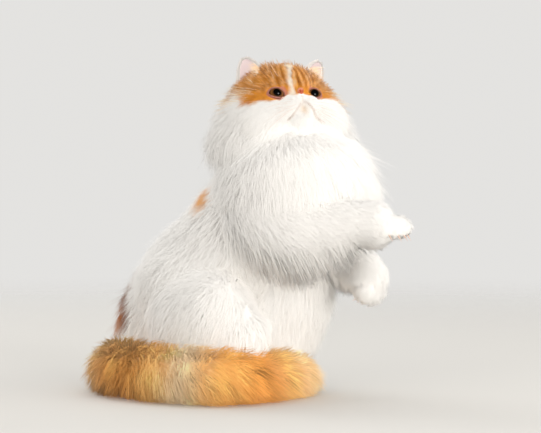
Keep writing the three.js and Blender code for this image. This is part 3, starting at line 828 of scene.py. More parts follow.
@dataclass(frozen=True)
class SkinFinish:
    """Skin under short fur: the markings' colour with fine bumps of hair."""

    name: str = "skin"
    roughness: float = 0.7
    grain: float = 1400.0
    bump: float = 0.35

    def material(self) -> bpy.types.Material:
        """The finish as a Blender material."""
        graph = Graph(self.name)
        normal = graph.bump(graph.noise(graph.place(), self.grain, 3.0), self.bump, 0.0008)
        return graph.dressed({"Base Color": graph.markings(), "Normal": normal, "Roughness": self.roughness,
                              "Specular IOR Level": 0.3})


@dataclass(frozen=True)
class WetFinish:
    """Damp bare skin, such as lid rims and pads: fine pebbles under a soft gloss."""

    name: str
    colour: Colour
    roughness: float = 0.42
    grain: float = 1500.0
    bump: float = 0.25

    def material(self) -> bpy.types.Material:
        """The finish as a Blender material."""
        graph = Graph(self.name)
        place = graph.place()
        pebbles = graph.add("TexVoronoi", {"Vector": place, "Scale": self.grain}).outputs["Distance"]
        dark = tuple(0.72 * c for c in self.colour)
        shade = graph.ramp(graph.noise(place, self.grain / 6), (0.3, dark), (0.65, self.colour))
        return graph.dressed({"Base Color": shade, "Normal": graph.bump(pebbles, self.bump, 0.0003),
                              "Roughness": self.roughness})


@dataclass(frozen=True)
class HornFinish:
    """Claws and whiskers: pale horn that is pinker towards the quick."""

    name: str = "claw_horn"
    colour: Colour = linear(236, 214, 196)
    quick: Colour = linear(214, 168, 150)
    roughness: float = 0.3

    def material(self) -> bpy.types.Material:
        """The finish as a Blender material."""
        graph = Graph(self.name)
        shade = graph.ramp(graph.noise(graph.place(), 600.0), (0.0, self.quick), (1.0, self.colour))
        return graph.dressed({"Base Color": shade, "Roughness": self.roughness})


@dataclass(frozen=True)
class EyeFinish:
    """An eye: a wide pupil in a dark copper iris with fine rays, and a wet gloss over all."""

    name: str = "eye"
    pupil: float = 0.40
    iris: float = 0.80

    def material(self) -> bpy.types.Material:
        """The finish as a Blender material."""
        graph = Graph(self.name)
        gaze = graph.add("Attribute", {}, attribute_name=GAZE).outputs["Vector"]
        level = graph.add("VectorMath", {0: gaze, 1: (1, 1, 0)}, operation="MULTIPLY").outputs["Vector"]
        far = graph.add("VectorMath", {0: level}, operation="LENGTH").outputs["Value"]
        around = graph.add("VectorMath", {0: level}, operation="NORMALIZE").outputs["Vector"]
        black = (0.002, 0.002, 0.002)
        shade = graph.ramp(
            far, (0.0, black), (self.pupil, black), (self.pupil + 0.04, linear(70, 42, 20)),
            (self.pupil + 0.2, linear(122, 78, 36)), (self.iris - 0.06, linear(84, 54, 30)),
            (self.iris, linear(24, 16, 12)), (1.0, linear(60, 44, 40)),
        )
        tint = graph.scaled(shade, graph.noise(around, 9.0, 3.0), 0.55, 1.35)
        return graph.dressed({"Base Color": tint, "Roughness": 0.35, "Specular IOR Level": 0.1,
                              "Coat Weight": 0.5, "Coat IOR": 1.8, "Coat Roughness": 0.02})


@dataclass(frozen=True)
class FloorFinish:
    """The plain pale floor, which fades out some way from the cat."""

    name: str = "floor"
    colour: Colour = linear(218, 216, 212)
    fade: tuple[float, float] = (0.5, 2.8)

    def material(self) -> bpy.types.Material:
        """The finish as a Blender material."""
        graph = Graph(self.name)
        far = graph.add("VectorMath", {0: graph.place()}, operation="LENGTH").outputs["Value"]
        ends = {"From Min": self.fade[0], "From Max": self.fade[1], "To Min": 1.0, "To Max": 0.0}
        fade = graph.add("MapRange", {"Value": far, **ends}, interpolation_type="SMOOTHERSTEP")
        solid = fade.outputs["Result"]
        return graph.dressed({"Base Color": (*self.colour, 1), "Alpha": solid, "Roughness": 0.85})


def piece(name: str, mesh: bpy.types.Mesh, finish: bpy.types.Material, slot: Slot,
          *nodes: str) -> bpy.types.Object:
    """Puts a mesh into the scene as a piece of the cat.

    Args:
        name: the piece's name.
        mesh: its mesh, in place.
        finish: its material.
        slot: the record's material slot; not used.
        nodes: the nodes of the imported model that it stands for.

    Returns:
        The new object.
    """
    made = bpy.data.objects.new(name, mesh)
    bpy.context.scene.collection.objects.link(made)
    mesh.materials.append(finish)
    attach(made, "root")
    if nodes:
        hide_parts(*nodes)
    LOG.info("%s: %d faces", name, len(mesh.polygons))
    return made


def mesh_of(made: bmesh.types.BMesh, name: str) -> bpy.types.Mesh:
    """The finished mesh of a bmesh, which is freed."""
    mesh = bpy.data.meshes.new(name)
    made.to_mesh(mesh)
    made.free()
    mesh.shade_smooth()
    return mesh


def join(whole: bmesh.types.BMesh, part: bmesh.types.BMesh) -> None:
    """Moves a bmesh's faces into another one."""
    mesh = mesh_of(part, "part")
    whole.from_mesh(mesh)
    bpy.data.meshes.remove(mesh)


def places_of(mesh: bpy.types.Mesh) -> Array:
    """The places of a mesh's vertices."""
    places = np.zeros(len(mesh.vertices) * 3, np.float32)
    mesh.vertices.foreach_get("co", places)
    return places.reshape(-1, 3).astype(float)


def colour_mesh(mesh: bpy.types.Mesh, shades: Array) -> None:
    """Writes one colour for each vertex."""
    layer = mesh.attributes.new(COLOUR, "FLOAT_COLOR", "POINT")
    opaque = np.column_stack([shades, np.ones(len(shades))]).astype(np.float32)
    layer.data.foreach_set("color", opaque.ravel())


@dataclass
class Mass:
    """The whole cat as one soft shape, so that light runs over the coat without a seam.

    Attributes:
        body: the forms that it is made of.
        cell: the size of its cells.
        spread: how often each cell is mixed with its neighbours.
        margin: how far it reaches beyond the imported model's box.
    """

    body: Body
    cell: float = 0.006
    spread: int = 14
    margin: float = 0.04

    def __post_init__(self) -> None:
        """Fills the cells that the coat covers, blurs them and takes their slope."""
        self.low = np.array(CAD_BOX[0]) - self.margin
        counts = np.ceil((np.array(CAD_BOX[1]) + self.margin - self.low) / self.cell).astype(int)
        middles = [low + (np.arange(count) + 0.5) * self.cell for low, count in zip(self.low, counts)]
        cells = np.stack(np.meshgrid(*middles, indexing="ij"), -1).reshape(-1, 3)
        full = np.any([form.holds(cells, 0.8) for form in self.body.forms], axis=0)
        filled = full.reshape(counts).astype(float)
        for _ in range(self.spread):
            for axis in range(3):
                filled = (np.roll(filled, 1, axis) + 2 * filled + np.roll(filled, -1, axis)) / 4
        self.slope = -np.stack(np.gradient(filled), -1)

    def normal(self, points: Array) -> Array:
        """The way out of the whole shape."""
        at = (points - self.low) / self.cell - 0.5
        before = np.clip(np.floor(at).astype(int), 0, np.array(self.slope.shape[:3]) - 2)
        part = at - before
        made = np.zeros(points.shape)
        for corner in itertools.product((0, 1), repeat=3):
            index = before + corner
            weight = np.where(corner, part, 1 - part).prod(-1)
            made += self.slope[index[..., 0], index[..., 1], index[..., 2]] * column(weight)
        return unit(made)


@dataclass(frozen=True)
class CoatStyle:
    """How the hair of one part grows, in metres.

    Attributes:
        count: how many tufts.
        reach: a tuft's length for each metre of the coat's depth, and least the shortest tuft.
        wide: a tuft's width where it is widest, and thick its height over its flat side.
        flow: 1 where the hair runs along the form's spine, -1 against it.
        droop: how much its lie turns down, and drift another way that it leans.
        hang: how far it falls off the outline, as a share of its length.
        sweep: how far the lie wavers from lock to lock, and fray from tuft to tuft.
        clump: how far the tips are drawn together, and gather how many tufts share a clump.
        loose: how far a tip runs straight on, off the outline.
        lift: the shares of the coat's depth between which the tips lie.
        rings: how many rings a tuft has below its tip.
        grain: how much one clump differs from the next in colour.
        melt: how far the light takes the whole body's shape instead of the form's own.
    """

    count: int
    seed: int
    reach: float = 1.6
    least: float = 0.006
    wide: float = 0.0010
    thick: float = 0.0004
    flow: float = 1.0
    droop: float = 0.5
    hang: float = 0.1
    drift: Place = (0.0, 0.0, 0.0)
    sweep: float = 0.16
    fray: float = 0.26
    clump: float = 0.05
    gather: int = 12
    loose: float = 0.3
    lift: tuple[float, float] = (0.62, 1.06)
    rings: int = 2
    grain: float = 0.02
    melt: float = 0.75


@dataclass
class Tufts:
    """Tufts as arrays: their centre lines, the way out of the coat along them, and their looks.

    Attributes:
        lines: (tufts, rings + 1, 3), as out, soft and shades; soft are the normals that the light takes.
        width: (tufts,), as thick.
        root_map: (tufts, 2), the place of each tuft's patch on the bake's map.
    """

    lines: Array
    out: Array
    soft: Array
    width: Array
    thick: Array
    shades: Array
    root_map: Array

    def mesh(self, name: str) -> bpy.types.Mesh:
        """One closed three-sided blade for each tuft, tapered to its tip.

        Returns:
            A mesh with the colours, the bake's map and normals that lean to the coat's own.
        """
        count, stops, _ = self.lines.shape
        rings = stops - 1
        along = unit(np.gradient(self.lines, axis=1))
        across = unit(np.cross(along, self.out))
        up = np.cross(across, along)
        share = np.linspace(0, 1, stops)
        full = (0.72 + 0.9 * share - 1.62 * share**2) * 1.05
        wide = (column(self.width) * full / 2)[:, :rings, None]
        thick = (column(self.thick) * full)[:, :rings, None]
        centre, side, rise = self.lines[:, :rings], across[:, :rings], up[:, :rings]
        corners = np.stack([centre + side * wide, centre + rise * thick, centre - side * wide], 2)
        places = np.concatenate([corners.reshape(count, -1, 3), self.lines[:, rings:]], 1)
        body = unit(0.92 * self.soft + 0.08 * up)
        turned = np.stack([body[:, :rings] + 0.14 * side, body[:, :rings], body[:, :rings] - 0.14 * side], 2)
        normals = unit(np.concatenate([turned.reshape(count, -1, 3), body[:, rings:]], 1))
        at = np.append(np.repeat(share[:rings], 3), 1.0)
        shades = np.concatenate([np.repeat(self.shades[:, :rings], 3, axis=1), self.shades[:, rings:]], 1)
        offsets = np.column_stack([np.append(np.tile([0.0, 0.5, 1.0], rings), 0.5), at]) - 0.5
        spots = self.root_map[:, None] + offsets[None] * TUFT_PATCH
        return tuft_mesh(name, places, normals, shades, spots, blade_faces(rings))


def blade_faces(rings: int) -> Array:
    """The triangles of one blade: its foot, its three sides and its tip."""
    faces = [(0, 1, 2)]
    for first, second in ((0, 1), (1, 2), (2, 0)):
        for ring in range(rings - 1):
            here, above = 3 * ring, 3 * ring + 3
            faces.append((here + second, here + first, above + first))
            faces.append((here + second, above + first, above + second))
        top = 3 * rings - 3
        faces.append((top + second, top + first, 3 * rings))
    return np.array(faces)


def tuft_mesh(name: str, places: Array, normals: Array, shades: Array, spots: Array,
              faces: Array) -> bpy.types.Mesh:
    """A mesh of many copies of one blade.

    Args:
        name: the mesh's name.
        places: a row of points for each blade, and normals, shades and spots to match.
        faces: the triangles of one blade.
    """
    count, each, _ = places.shape
    corners = (faces[None] + (np.arange(count) * each)[:, None, None]).reshape(-1, 3)
    mesh = bpy.data.meshes.new(name)
    mesh.vertices.add(count * each)
    mesh.vertices.foreach_set("co", places.astype(np.float32).ravel())
    mesh.loops.add(corners.size)
    mesh.loops.foreach_set("vertex_index", corners.astype(np.int32).ravel())
    mesh.polygons.add(len(corners))
    mesh.polygons.foreach_set("loop_start", np.arange(0, corners.size, 3, dtype=np.int32))
    mesh.update(calc_edges=True)
    mesh.shade_smooth()
    colour_mesh(mesh, np.clip(shades.reshape(-1, 3), 0, 1))
    spot = spots.reshape(-1, 2)[corners.ravel()]
    mesh.uv_layers.new(name="OFBake").uv.foreach_set("vector", spot.astype(np.float32).ravel())
    mesh.normals_split_custom_set_from_vertices(normals.reshape(-1, 3).astype(np.float32))
    return mesh


def sow(form: Grown, count: int, rng: np.random.Generator, density: Callable | None) -> tuple[Array, Array]:
    """Roots spread evenly over a form's skin.

    Args:
        form: the form.
        count: how many roots.
        rng: the source of chance.
        density: how thickly they grow at a share and angle, or None for evenly.

    Returns:
        Their shares and angles.
    """
    rows, columns = 90, 96
    turn = 2 * math.pi / columns
    shares, angles = (np.arange(rows) + 0.5) / rows, (np.arange(columns) + 0.5) * turn
    share, angle = np.meshgrid(shares, angles, indexing="ij")
    share, angle = share.ravel(), angle.ravel()
    lengthwise = form.surface(share + 0.5 / rows, angle, 0.5) - form.surface(share - 0.5 / rows, angle, 0.5)
    around = form.surface(share, angle + 0.03, 0.5) - form.surface(share, angle - 0.03, 0.5)
    weight = np.linalg.norm(np.cross(lengthwise, around), axis=1)
    if density is not None:
        weight = weight * density(share, angle)
    cell = rng.choice(len(weight), size=count, p=weight / weight.sum())
    share = np.clip(share[cell] + rng.uniform(-0.5, 0.5, count) / rows, 0.005, 0.995)
    return share, angle[cell] + rng.uniform(-0.5, 0.5, count) * turn


@dataclass
class Coat:
    """The tufts of one piece, gathered from the forms that it grows on."""

    name: str
    slot: Slot
    body: Body
    mass: Mass
    parts: list[Tufts] = field(default_factory=list)

    def hidden(self, form: Grown, points: Array, core: float) -> Array:
        """Which points lie under a share of another form's coat, or in the floor."""
        under = points[:, 2] < 0.0005
        for other in self.body.forms:
            if other is not form:
                under |= other.holds(points, core)
        return under

    def grow(self, form: Grown, style: CoatStyle, shade: Callable, density: Callable | None = None,
             part: tuple[int, float] = (0, 1)) -> None:
        """Adds the tufts of one form.

        Args:
            form: the form that they grow on.
            style: how they grow.
            shade: gives the colour of places on the skin, with the share of the form's length.
            density: how thickly they grow, or None for evenly.
            part: which strip of the bake's map they take, and how many strips there are.
        """
        rng = np.random.default_rng(style.seed)
        share, angle = sow(form, int(style.count * 2.2), rng, density)
        seen = ~self.hidden(form, form.surface(share, angle, 0.95), 0.62)
        share, angle = share[seen][: style.count], angle[seen][: style.count]
        count = len(share)
        core = form.skin_core(share, angle) - SINK
        roots = form.surface(share, angle, core)
        length = np.maximum(style.least, style.reach * form.depth(share, angle))
        length = length * rng.uniform(0.72, 1.15, count)
        waver = np.stack([ripple(roots, 0.035, style.seed + k) for k in (1, 2, 3)], 1) * style.sweep
        waver += rng.normal(0, style.fray, (count, 3)) - style.droop * UP + np.array(style.drift)
        stray = rng.random(count) < 0.05
        lift = np.where(stray, rng.uniform(1.0, 1.3, count), rng.uniform(*style.lift, count))
        lines, outs = [roots], [form.normal(share, angle)]
        shades = [shade(form.surface(share, angle, 0.0), share)]
        here = (share, angle)
        for ring in range(1, style.rings + 1):
            lie = unit(form.ahead(*here) * style.flow + waver)
            here = form.step(*here, lie * column(length / style.rings))
            lines.append(form.surface(*here, mix(core, lift, 1 - (1 - ring / style.rings) ** 2)))
            outs.append(form.normal(*here))
            shades.append(shade(form.surface(*here, 0.0), here[0]))
        line, out, colours = (np.stack(rows, 1) for rows in (lines, outs, shades))
        line = self.loosened(line, np.where(stray, 0.75, style.loose))
        line -= UP * (style.hang * column(column(length)) * column(np.linspace(0, 1, style.rings + 1) ** 2))
        line, kin = self.clumped(line, style, rng)
        crossing = np.zeros(count, bool)
        if form is SKULL:
            for side in Side:
                line, over = Eye(side).over_lids(line)
                crossing |= over
        line[:, :, 2] = np.maximum(line[:, :, 2], 0.0008 + 0.002 * rng.random((count, 1)))
        keep = ~self.hidden(form, line[:, -1], 0.25) & ~crossing
        vivid = np.clip(1.15 - colours[:, :, 2:], 0.15, 1)
        grain = rng.normal(0, style.grain, (count // style.gather + 1))[kin] + rng.normal(0, 0.02, count)
        colours = colours * (1 + vivid * column(column(grain)))
        strip = (part[0] + MAP_MARGIN + (1 - 2 * MAP_MARGIN) * (angle / (2 * math.pi) % 1)) / part[1]
        root_map = np.column_stack([strip, MAP_MARGIN + (1 - 2 * MAP_MARGIN) * share])
        width = style.wide * rng.uniform(0.7, 1.2, count) * np.where(stray, 0.55, 1)
        soft = unit(mix(out, self.mass.normal(line), style.melt))
        looks = (line, out, soft, width, width * style.thick / style.wide, colours, root_map)
        self.parts.append(Tufts(*(look[keep] for look in looks)))

    def loosened(self, line: Array, loose: Array) -> Array:
        """Centre lines whose outer part runs straight on by a share loose, off the outline."""
        made = line.copy()
        for ring in range(2, line.shape[1]):
            ahead = unit(made[:, ring - 1] - made[:, ring - 2])
            pace = np.linalg.norm(line[:, ring] - line[:, ring - 1], axis=1)
            made[:, ring] = mix(line[:, ring], made[:, ring - 1] + ahead * column(pace), column(loose))
        return made

    def clumped(self, line: Array, style: CoatStyle, rng: np.random.Generator) -> tuple[Array, Array]:
        """Centre lines drawn towards the first tuft of their clump, more so at the tips.

        Returns:
            The lines and the clump of each.
        """
        guides = KDTree(len(line) // style.gather + 1)
        for index, root in enumerate(line[:: style.gather, 0]):
            guides.insert(root, index)
        guides.balance()
        kin = np.array([guides.find(root)[1] for root in line[:, 0]])
        lead = line[kin * style.gather]
        spread = line[:, :1] - lead[:, :1]
        share = np.linspace(0, 1, line.shape[1]) ** 1.4
        pull = column(style.clump * rng.uniform(0.5, 1.3, (len(line), 1)) * share)
        return mix(line, lead + spread * 0.25, np.clip(pull, 0, 1)), kin

    def finish(self, finish: bpy.types.Material) -> None:
        """Joins the tufts into one piece."""
        gathered = ([getattr(part, item.name) for part in self.parts] for item in fields(Tufts))
        whole = Tufts(*map(np.concatenate, gathered))
        made = piece(self.name, whole.mesh(self.name), finish, self.slot)
        made.visible_shadow = False  # soft hair lets light through; the skin under it throws the shadows


@dataclass
class Skin:
    """The bare body under the coat, in one skin, with the folds of the face.

    Attributes:
        body: the forms that it is made of.
        pitch: the size of its faces, and soften how often it is smoothed.
        groove: how deep the mouth's line is, and how wide.
        tear_fold: the same for the fold from an eye's inner corner down beside the nose.
        tear_line: that fold's slopes from the head's centre.
        ground: the lowest height of the skin.
    """

    body: Body
    pitch: float = 0.003
    soften: int = 6
    groove: tuple[float, float] = (0.0015, 0.0012)
    tear_fold: tuple[float, float] = (0.0016, 0.0022)
    tear_line: Stops = ((0.40, 0.22), (0.30, 0.10), (0.24, -0.02), (0.25, -0.14))
    ground: float = 0.0004

    def blank(self) -> bpy.types.Mesh:
        """All forms joined, remeshed at one pitch and smoothed."""
        whole = bmesh.new()
        for form in self.body.forms:
            join(whole, form.ball(56, 40))
        draft = bpy.data.objects.new("draft", mesh_of(whole, "draft"))
        bpy.context.scene.collection.objects.link(draft)
        remesh = draft.modifiers.new("Remesh", "REMESH")
        remesh.mode = "VOXEL"
        remesh.voxel_size = self.pitch
        draft.modifiers.new("Smooth", "SMOOTH").iterations = self.soften
        made = bpy.data.meshes.new_from_object(draft.evaluated_get(bpy.context.evaluated_depsgraph_get()))
        bpy.data.objects.remove(draft)
        return made

    def build(self) -> None:
        """The skin as a piece."""
        made = bmesh.new()
        made.from_mesh(self.blank())
        self.refine(made)
        self.shape_face(made)
        for side in Side:
            self.seat_eye(made, Eye(side))
        for vertex in made.verts:
            vertex.co.z = max(vertex.co.z, self.ground)
        mesh = mesh_of(made, "skin")
        colour_mesh(mesh, self.shades(places_of(mesh)))
        limbs = (f"{part}_{side.name.lower()}"
                 for part in ("foreleg", "forepaw", "thigh", "hindfoot") for side in Side)
        piece("skin", mesh, SkinFinish().material(), Slot.WHITE, "head", "neck_ruff", "torso", "tail_base",
              "tail_middle", "tail_tip", *limbs)

    def refine(self, made: bmesh.types.BMesh) -> None:
        """Cuts the faces of the face smaller, twice."""
        for limit in (0.95, 0.8):
            local = HEAD.local(verts_of(made))
            front = (unit(local)[:, 0] > math.cos(limit)) & (np.linalg.norm(local, axis=1) < 0.07)
            edges = [edge for edge in made.edges if all(front[v.index] for v in edge.verts)]
            bmesh.ops.subdivide_edges(made, edges=edges, cuts=1, use_grid_fill=True)
            made.verts.index_update()
            made.verts.ensure_lookup_table()

    def shape_face(self, made: bmesh.types.BMesh) -> None:
        """Moves the head's vertices to its exact outline, with the mouth's line and the folds."""
        local = HEAD.local(verts_of(made))
        far = np.linalg.norm(local, axis=1)
        rays = unit(local)
        reach = SKULL.skin(rays)
        tilt = np.arccos(np.clip(rays[:, 0], -1, 1))
        hold = (1 - smooth(1.35, 1.8, tilt)) * (1 - smooth(0.006, 0.012, np.abs(far - reach)))
        near = hold > 0.001
        on_skin = rays[near] * column(reach[near])
        cut = np.zeros(len(far))
        cut[near] = self.groove[0] * hill(SKULL.far_from_mouth(on_skin) / self.groove[1])
        for side in Side:
            fold = SKULL.line(self.tear_line, side.value, 24)
            gap = np.linalg.norm(on_skin[:, None] - fold[None], axis=2).min(1)
            cut[near] += self.tear_fold[0] * hill(gap / self.tear_fold[1])
        placed = HEAD.world(rays * column(mix(far, reach - cut, hold)))
        for index in np.flatnonzero(near):
            made.verts[index].co = placed[index]

    def seat_eye(self, made: bmesh.types.BMesh, eye: "Eye") -> None:
        """Lifts the lids over an eyeball, and sinks the skin behind its opening."""
        local = eye.local(verts_of(made))
        far = np.linalg.norm(local, axis=1)
        near = (far < eye.radius * 2.2) & (local[:, 2] > -0.2 * eye.radius)
        apart = eye.openness(local)
        hood = eye.radius + eye.lid * (1 - 0.6 * smooth(1.6, 2.6, apart))
        reach = mix(eye.radius * 0.8, np.maximum(far, hood), smooth(0.9, 1.12, apart))
        for index in np.flatnonzero(near):
            made.verts[index].co = eye.world(local[index] * reach[index] / far[index])

    def shades(self, points: Array) -> Array:
        """The skin's colours."""
        local = HEAD.local(points)
        over = np.linalg.norm(local, axis=1) - SKULL.skin(unit(local))
        on_head = np.abs(over) < np.where(local[:, 0] > 0.01, 0.014, 0.005)
        shares = np.linspace(0.0, 1, 60)
        spine, *_, sizes = self.body.tail.read(shares)
        gaps = np.stack([np.linalg.norm(points - stop, axis=1) for stop in spine], 1)
        nearest = gaps.argmin(1)
        on_tail = gaps.min(1) < (sizes[nearest][:, 1:] * (1, SKIN)).sum(1) * 1.12
        shades = np.where(column(on_tail), MARKINGS.tail(points, shares[nearest]), MARKINGS.body(points))
        shades = np.where(column(on_head), MARKINGS.head(points), shades)
        near = on_head & (local[:, 0] > 0.02)
        for side in Side:
            eye = Eye(side)
            shades = paint(shades, MARKINGS.lid, eye.clear(eye.local(points), 1.07, 1.17) * near)
        return shades * 0.98


@dataclass
class Eye:
    """An eyeball with its lids' rim.

    Attributes:
        side: which eye.
        radius: the ball's radius.
        opening: half the width and half the height of the lids' opening.
        slant: how far the opening rises to the outer corner.
        rim: the half thickness of the lids' edge.
        bulge: how far the ball swells over the iris.
        depth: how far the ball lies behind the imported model's.
        lid: the thickness of the lids over the ball.
    """

    side: Side
    radius: float = 0.0115
    opening: tuple[float, float] = (0.0098, 0.0077)
    slant: float = 0.14
    rim: float = 0.0009
    bulge: float = 0.08
    depth: float = 0.0026
    lid: float = 0.0013

    @cached_property
    def axes(self) -> Array:
        """Rows: across to the outer corner, up, and the way that it looks, a little to the cat's right."""
        aside = -0.08 if self.side is Side.LEFT else -0.16
        look = unit(np.array([1.0, aside, 0.0]) @ HEAD.axes)
        up = HEAD.axes[2]
        return np.array([np.cross(up, look) * self.side.value, up, look])

    @cached_property
    def centre(self) -> Array:
        """The middle of the ball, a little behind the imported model's."""
        return np.array(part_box(f"eye_{self.side.name.lower()}")).mean(0) - self.axes[2] * self.depth

    def world(self, local: Array) -> Array:
        """Points given across, up and ahead of the ball's centre, in the model's frame."""
        return self.centre + np.asarray(local) @ self.axes

    def local(self, points: Array) -> Array:
        """Points of the model's frame as across, up and ahead of the ball's centre."""
        return (np.asarray(points) - self.centre) @ self.axes.T

    def clear(self, local: Array, start: float, end: float) -> Array:
        """How bare the skin is: 1 up to start openings from the opening's middle, 0 from end on."""
        close = 1 - smooth(1.3, 1.5, np.linalg.norm(local, axis=1) / self.radius)
        return close * (1 - smooth(start, end, self.openness(local)))

    def openness(self, local: Array) -> Array:
        """0 in the middle of the lids' opening, 1 on its edge, and more outside it."""
        on_ball = unit(local) * self.radius
        wide, high = self.opening
        away = np.hypot(on_ball[:, 0] / wide, (on_ball[:, 1] - self.slant * on_ball[:, 0]) / high)
        return np.where(local[:, 2] > 0, away, 4.0)

    def over_lids(self, line: Array) -> tuple[Array, Array]:
        """Lines of hair moved out onto the lids where they would run inside them.

        Args:
            line: the points of each line.

        Returns:
            The moved lines, and which of them would cross the opening.
        """
        for _ in range(2):
            line = np.where(self.crosses(line)[:, None, None], mix(line[:, :1], line, 0.4), line)
        hood = self.radius + self.lid + 0.0005
        local = self.local(line.reshape(-1, 3))
        far = np.linalg.norm(local, axis=1)
        out = np.where((far < hood) & (local[:, 2] > 0), hood / np.maximum(far, 1e-6), 1.0)
        return self.world(local * column(out)).reshape(line.shape), self.crosses(line)

    def crosses(self, line: Array) -> Array:
        """Which lines have a point in front of the opening."""
        local = self.local(line.reshape(-1, 3))
        close = np.linalg.norm(local, axis=1) < 1.5 * self.radius
        return ((self.openness(local) < 1.03) & close).reshape(line.shape[:2]).any(1)

    def ball(self) -> bpy.types.Mesh:
        """The eyeball, with a slight bulge over the iris and its own coordinates."""
        made, _, _ = globe(48, 40)
        local = verts_of(made)
        local *= 1 + self.bulge * column(np.maximum(0.0, (local[:, 2] - 0.72) / 0.28) ** 1.5)
        move(made, self.world(local * self.radius))
        mesh = mesh_of(made, f"eyeball_{self.side.name.lower()}")
        layer = mesh.attributes.new(GAZE, "FLOAT_VECTOR", "POINT")
        gaze = np.where(column(local[:, 2] < 0), [0.0, 1.0, 0.0], local)
        layer.data.foreach_set("vector", gaze.astype(np.float32).ravel())
        return mesh

    def lids(self, steps: int = 56, sides: int = 8) -> bpy.types.Mesh:
        """The lids' bare rim: a closed ring along the edge of the opening, with so many corners each way."""
        made = bmesh.new()
        wide, high = self.opening
        rings = []
        for turn in np.arange(steps) * 2 * math.pi / steps:
            upper = math.sin(turn) > 0
            across = wide * math.cos(turn)
            up = high * math.sin(turn) * (1.0 if upper else 0.86) + self.slant * across
            middle = np.array([across, up, math.sqrt(max(self.radius**2 - across**2 - up**2, 1e-9))])
            out = unit(middle)
            side = unit(np.array([math.cos(turn) / wide, math.sin(turn) / high, 0.0]))
            side = unit(side - out * (side @ out)) * self.rim * (1.5 if upper else 1.2)
            corners = np.arange(sides) * 2 * math.pi / sides
            places = middle * 1.02 + side * column(np.cos(corners)) + out * self.rim * column(np.sin(corners))
            rings.append([made.verts.new(place) for place in self.world(places)])
        for first, second in zip(rings, rings[1:] + rings[:1]):
            for corner in range(sides):
                after = (corner + 1) % sides
                made.faces.new((first[corner], first[after], second[after], second[corner]))
        bmesh.ops.recalc_face_normals(made, faces=made.faces)
        return mesh_of(made, f"lid_rim_{self.side.name.lower()}")

    def build(self) -> None:
        """The eyeball and the rim as pieces."""
        name = self.side.name.lower()
        piece(f"eyeball_{name}", self.ball(), EyeFinish().material(), Slot.EYE, f"eye_{name}")
        rim = WetFinish("lid_skin", linear(176, 116, 104))
        piece(f"lid_rim_{name}", self.lids(), rim.material(), Slot.NOSE)


@dataclass
class Nose:
    """The nose leather, with its nostrils.

    Attributes:
        seat: its place, forward and up of the head's centre.
        nostril: half the distance between the nostrils, and how deep they go.
        bare: the radius without fur.
    """

    seat: tuple[float, float] = (0.0475, 0.0035)
    nostril: tuple[float, float] = (0.0024, 0.0024)
    bare: float = 0.0042

    def build(self) -> None:
        """The nose as a piece."""
        forward, up = self.seat
        leather = HEAD.form(
            (
                (forward - 0.007, 0.0, up - 0.002, 0.0036, 0.0040, 0.0),
                (forward - 0.002, 0.0, up, 0.0044, 0.0045, 0.0),
                (forward + 0.0025, 0.0, up - 0.0005, 0.0037, 0.0037, 0.0),
            ),
            side=(0.0, 1.0, 0.0), caps=(0.3, 0.45),
        )
        made = leather.ball(48, 36)
        local = HEAD.local(verts_of(made))
        apart, deep = self.nostril
        rise = local[:, 2] - up
        ahead = local[:, 0] > forward
        push = np.zeros(len(local))
        for side in Side:
            aside = (local[:, 1] * side.value - apart - 0.25 * rise) / 0.0012
            push += deep * hill(aside, (rise + 0.0008) / 0.0013) * ahead
        local[:, 0] -= push + 0.0006 * hill(local[:, 1] / 0.0006) * ahead
        local[:, 1] *= 0.80 + 0.28 * np.clip(rise / 0.004, -1, 1)
        for vertex, place in zip(made.verts, HEAD.world(local)):
            vertex.co = place
        mesh = mesh_of(made, "nose_leather")
        # Painted light and shade: the nostrils are painted deep red where they are pushed in, as painted
        # shade, and the leather is painted lighter on top and deeper below, partly its own two tones and
        # partly a painted highlight and painted shade.
        low = smooth(-0.001, 0.003, -rise) * 0.8 + 0.9 * np.minimum(push / deep * 2, 1)
        colour_mesh(mesh, paint(flat(linear(214, 142, 108), rise), linear(184, 82, 54), np.clip(low, 0, 1)))
        finish = SkinFinish("nose_skin", roughness=0.45, grain=1600.0, bump=0.3)
        piece("nose_leather", mesh, finish.material(), Slot.NOSE, "nose")


